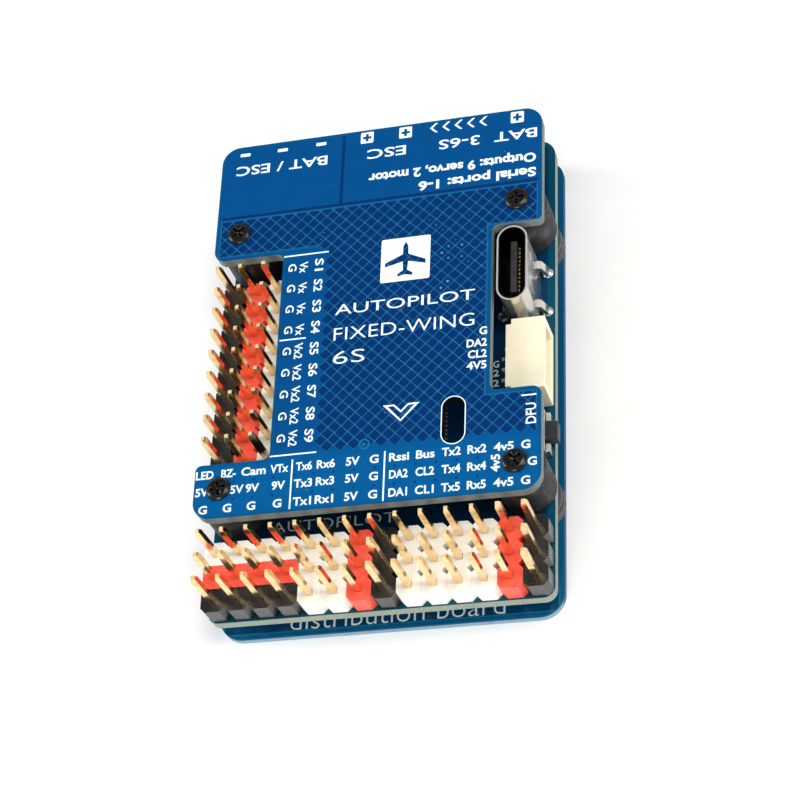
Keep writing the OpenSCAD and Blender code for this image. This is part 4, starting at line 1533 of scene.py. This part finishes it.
@dataclass
class UsbPort:
    """The upright USB port: pressed shell, tongue, contacts, base and soldered tabs."""

    tab_y: float = 2.35
    pad_x: float = 2.35
    pad_r: float = 0.62
    latch: Tuple[float, float, float] = (0.08, 0.9, 1.9)
    latch_x: float = 1.6
    latch_y: float = 1.5
    latch_depth: float = 2.4

    def build(self) -> None:
        """Refines the parts and solders the tabs."""
        refine(
            ("usb_shell", 0.07, Kit.shell, "bright_steel", 3),
            ("usb_tongue", 0.12, Kit.tongue, "black_nylon", 3),
            ("usb_contacts", 0.015, Kit.gold, "gold_pin"),
            ("usb_base", 0.05, Kit.base_nylon, "black_nylon"),
        )
        self.solder()
        self.latches()

    def solder(self) -> Object:
        """A mound of solder at the foot of each tab."""
        x, y, _ = sum(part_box("usb_shell"), Vector()) / 2 / MM
        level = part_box("controller_board")[1].z / MM
        heap = [(self.pad_r, 0.0), (self.pad_r * 0.97, 0.04), (self.pad_r * 0.75, 0.16), (0.2, 0.26)]
        across, along = (x - self.pad_x, x + self.pad_x), (y - self.tab_y, y + self.tab_y)
        mounds = Bench.array(Bench.turned("mound", heap, 20), "usb_tab_solder", across, along, level)
        return outfit(mounds, Kit.solder)

    def latches(self) -> Object:
        """The four pressed springs of the shell, a little proud of its flanks."""
        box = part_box("usb_shell")
        x, y, _ = sum(box, Vector()) / 2 / MM
        model = Bench.block("latch", self.latch, (0, 0, 0), 0.03)
        across, along = (x - self.latch_x, x + self.latch_x), (y - self.latch_y, y + self.latch_y)
        level = box[1].z / MM - self.latch_depth
        springs = Bench.array(model, "usb_shell_springs", across, along, level)
        return outfit(springs, Kit.steel)


@dataclass
class SideConnector:
    """The four-way side connector: cream housing, tinned contacts and tabs."""

    def build(self) -> None:
        """Refines the parts."""
        refine(
            ("side_connector_housing", 0.06, Kit.cream_nylon, "cream_nylon", 3),
            ("side_connector_contacts", 0.04, Kit.tin, "tin_plate"),
            ("side_connector_tabs", 0.04, Kit.tin, "tin_plate"),
        )


@dataclass
class BootSwitch:
    """The small side-push switch: base, pressed cover and the button that slides in."""

    def build(self) -> None:
        """Refines the parts; the button rides on its own body."""
        refine(
            ("boot_switch_base", 0.04, Kit.base_nylon, "black_nylon"),
            ("boot_switch_cover", 0.04, Kit.steel, "bright_steel"),
        )
        button = Bench.refined("boot_button", "boot_button_finished", 0.1, 3)
        outfit(button, Kit.button, BUTTON_BODY)


@dataclass
class ControllerBoard:
    """The middle board: mask, chips, passives and its own print."""

    def build(self) -> None:
        """Dresses the board and everything soldered to it."""
        Kit.controller.apply(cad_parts["controller_board"])
        refine(
            ("processor_body", 0.06, Kit.chip, "chip_black"),
            ("processor_leads", 0.0, Kit.tin, "tin_plate"),
            ("display_chip", 0.06, Kit.chip, "chip_black"),
            ("display_chip_leads", 0.0, Kit.tin, "tin_plate"),
            ("motion_sensor", 0.05, Kit.chip, "chip_black"),
            ("pressure_sensor", 0.08, Kit.steel, "bright_steel"),
            ("clock_crystal", 0.1, Kit.steel, "bright_steel"),
            ("status_lights", 0.06, Kit.resin, "clear_resin"),
            ("bypass_capacitors", 0.05, Kit.ceramic, "ceramic_tan"),
        )
        self.marks().finish(Kit.ink, "board_blue")

    def marks(self) -> Print:
        """Print between the headers and by the side connector."""
        marks = Print("marks_controller_board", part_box("controller_board")[1].z / MM)
        marks.word(Word("AUTOPILOT", -5.1, -16.85, 1.17, 13.3, 0.0, -0.01))
        for text, y in (("G", -0.4), ("2", -1.45), ("2", -2.65)):
            marks.word(Word(text, 11.68, y, 0.75, 0.62))
        return marks


@dataclass
class PowerBoard:
    """The bottom board: mask, regulators, inductors, shunts, pads, link and its own print."""

    def build(self) -> None:
        """Dresses the board and everything soldered to it."""
        Kit.power.apply(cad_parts["power_board"])
        refine(
            ("power_inductors", 0.12, Kit.ferrite, "ferrite_grey"),
            ("regulator_chips", 0.06, Kit.chip, "chip_black"),
            ("current_shunts", 0.06, Kit.chip, "chip_black"),
            ("power_capacitors", 0.07, Kit.ceramic, "ceramic_tan"),
            ("battery_pads", 0.03, Kit.solder, "tin_plate"),
            ("link_header", 0.05, Kit.base_nylon, "black_nylon"),
            ("link_socket", 0.05, Kit.base_nylon, "black_nylon"),
            ("link_pins", 0.03, Kit.gold, "gold_pin"),
        )
        self.marks().finish(Kit.ink, "board_blue")

    def marks(self) -> Print:
        """Print along the front edge."""
        marks = Print("marks_power_board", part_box("power_board")[1].z / MM)
        marks.word(Word("distribution board", 0.85, -25.75, 1.9, 22.4, 0.0, -0.03))
        return marks


def main() -> None:
    """Builds the studio and every sub-assembly in order."""
    logging.basicConfig(level=logging.INFO, format="%(name)s: %(message)s")
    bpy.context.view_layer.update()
    Studio().build()
    for assembly in (
        PowerBoard(), ControllerBoard(), SpacerStacks(), HeaderBlocks(), UsbPort(),
        SideConnector(), BootSwitch(), LabelPlate(), PlateScrews(),
    ):
        LOG.info("building %s", type(assembly).__name__)
        assembly.build()
    Bench.clear()


if __name__ == "__main__":
    main()
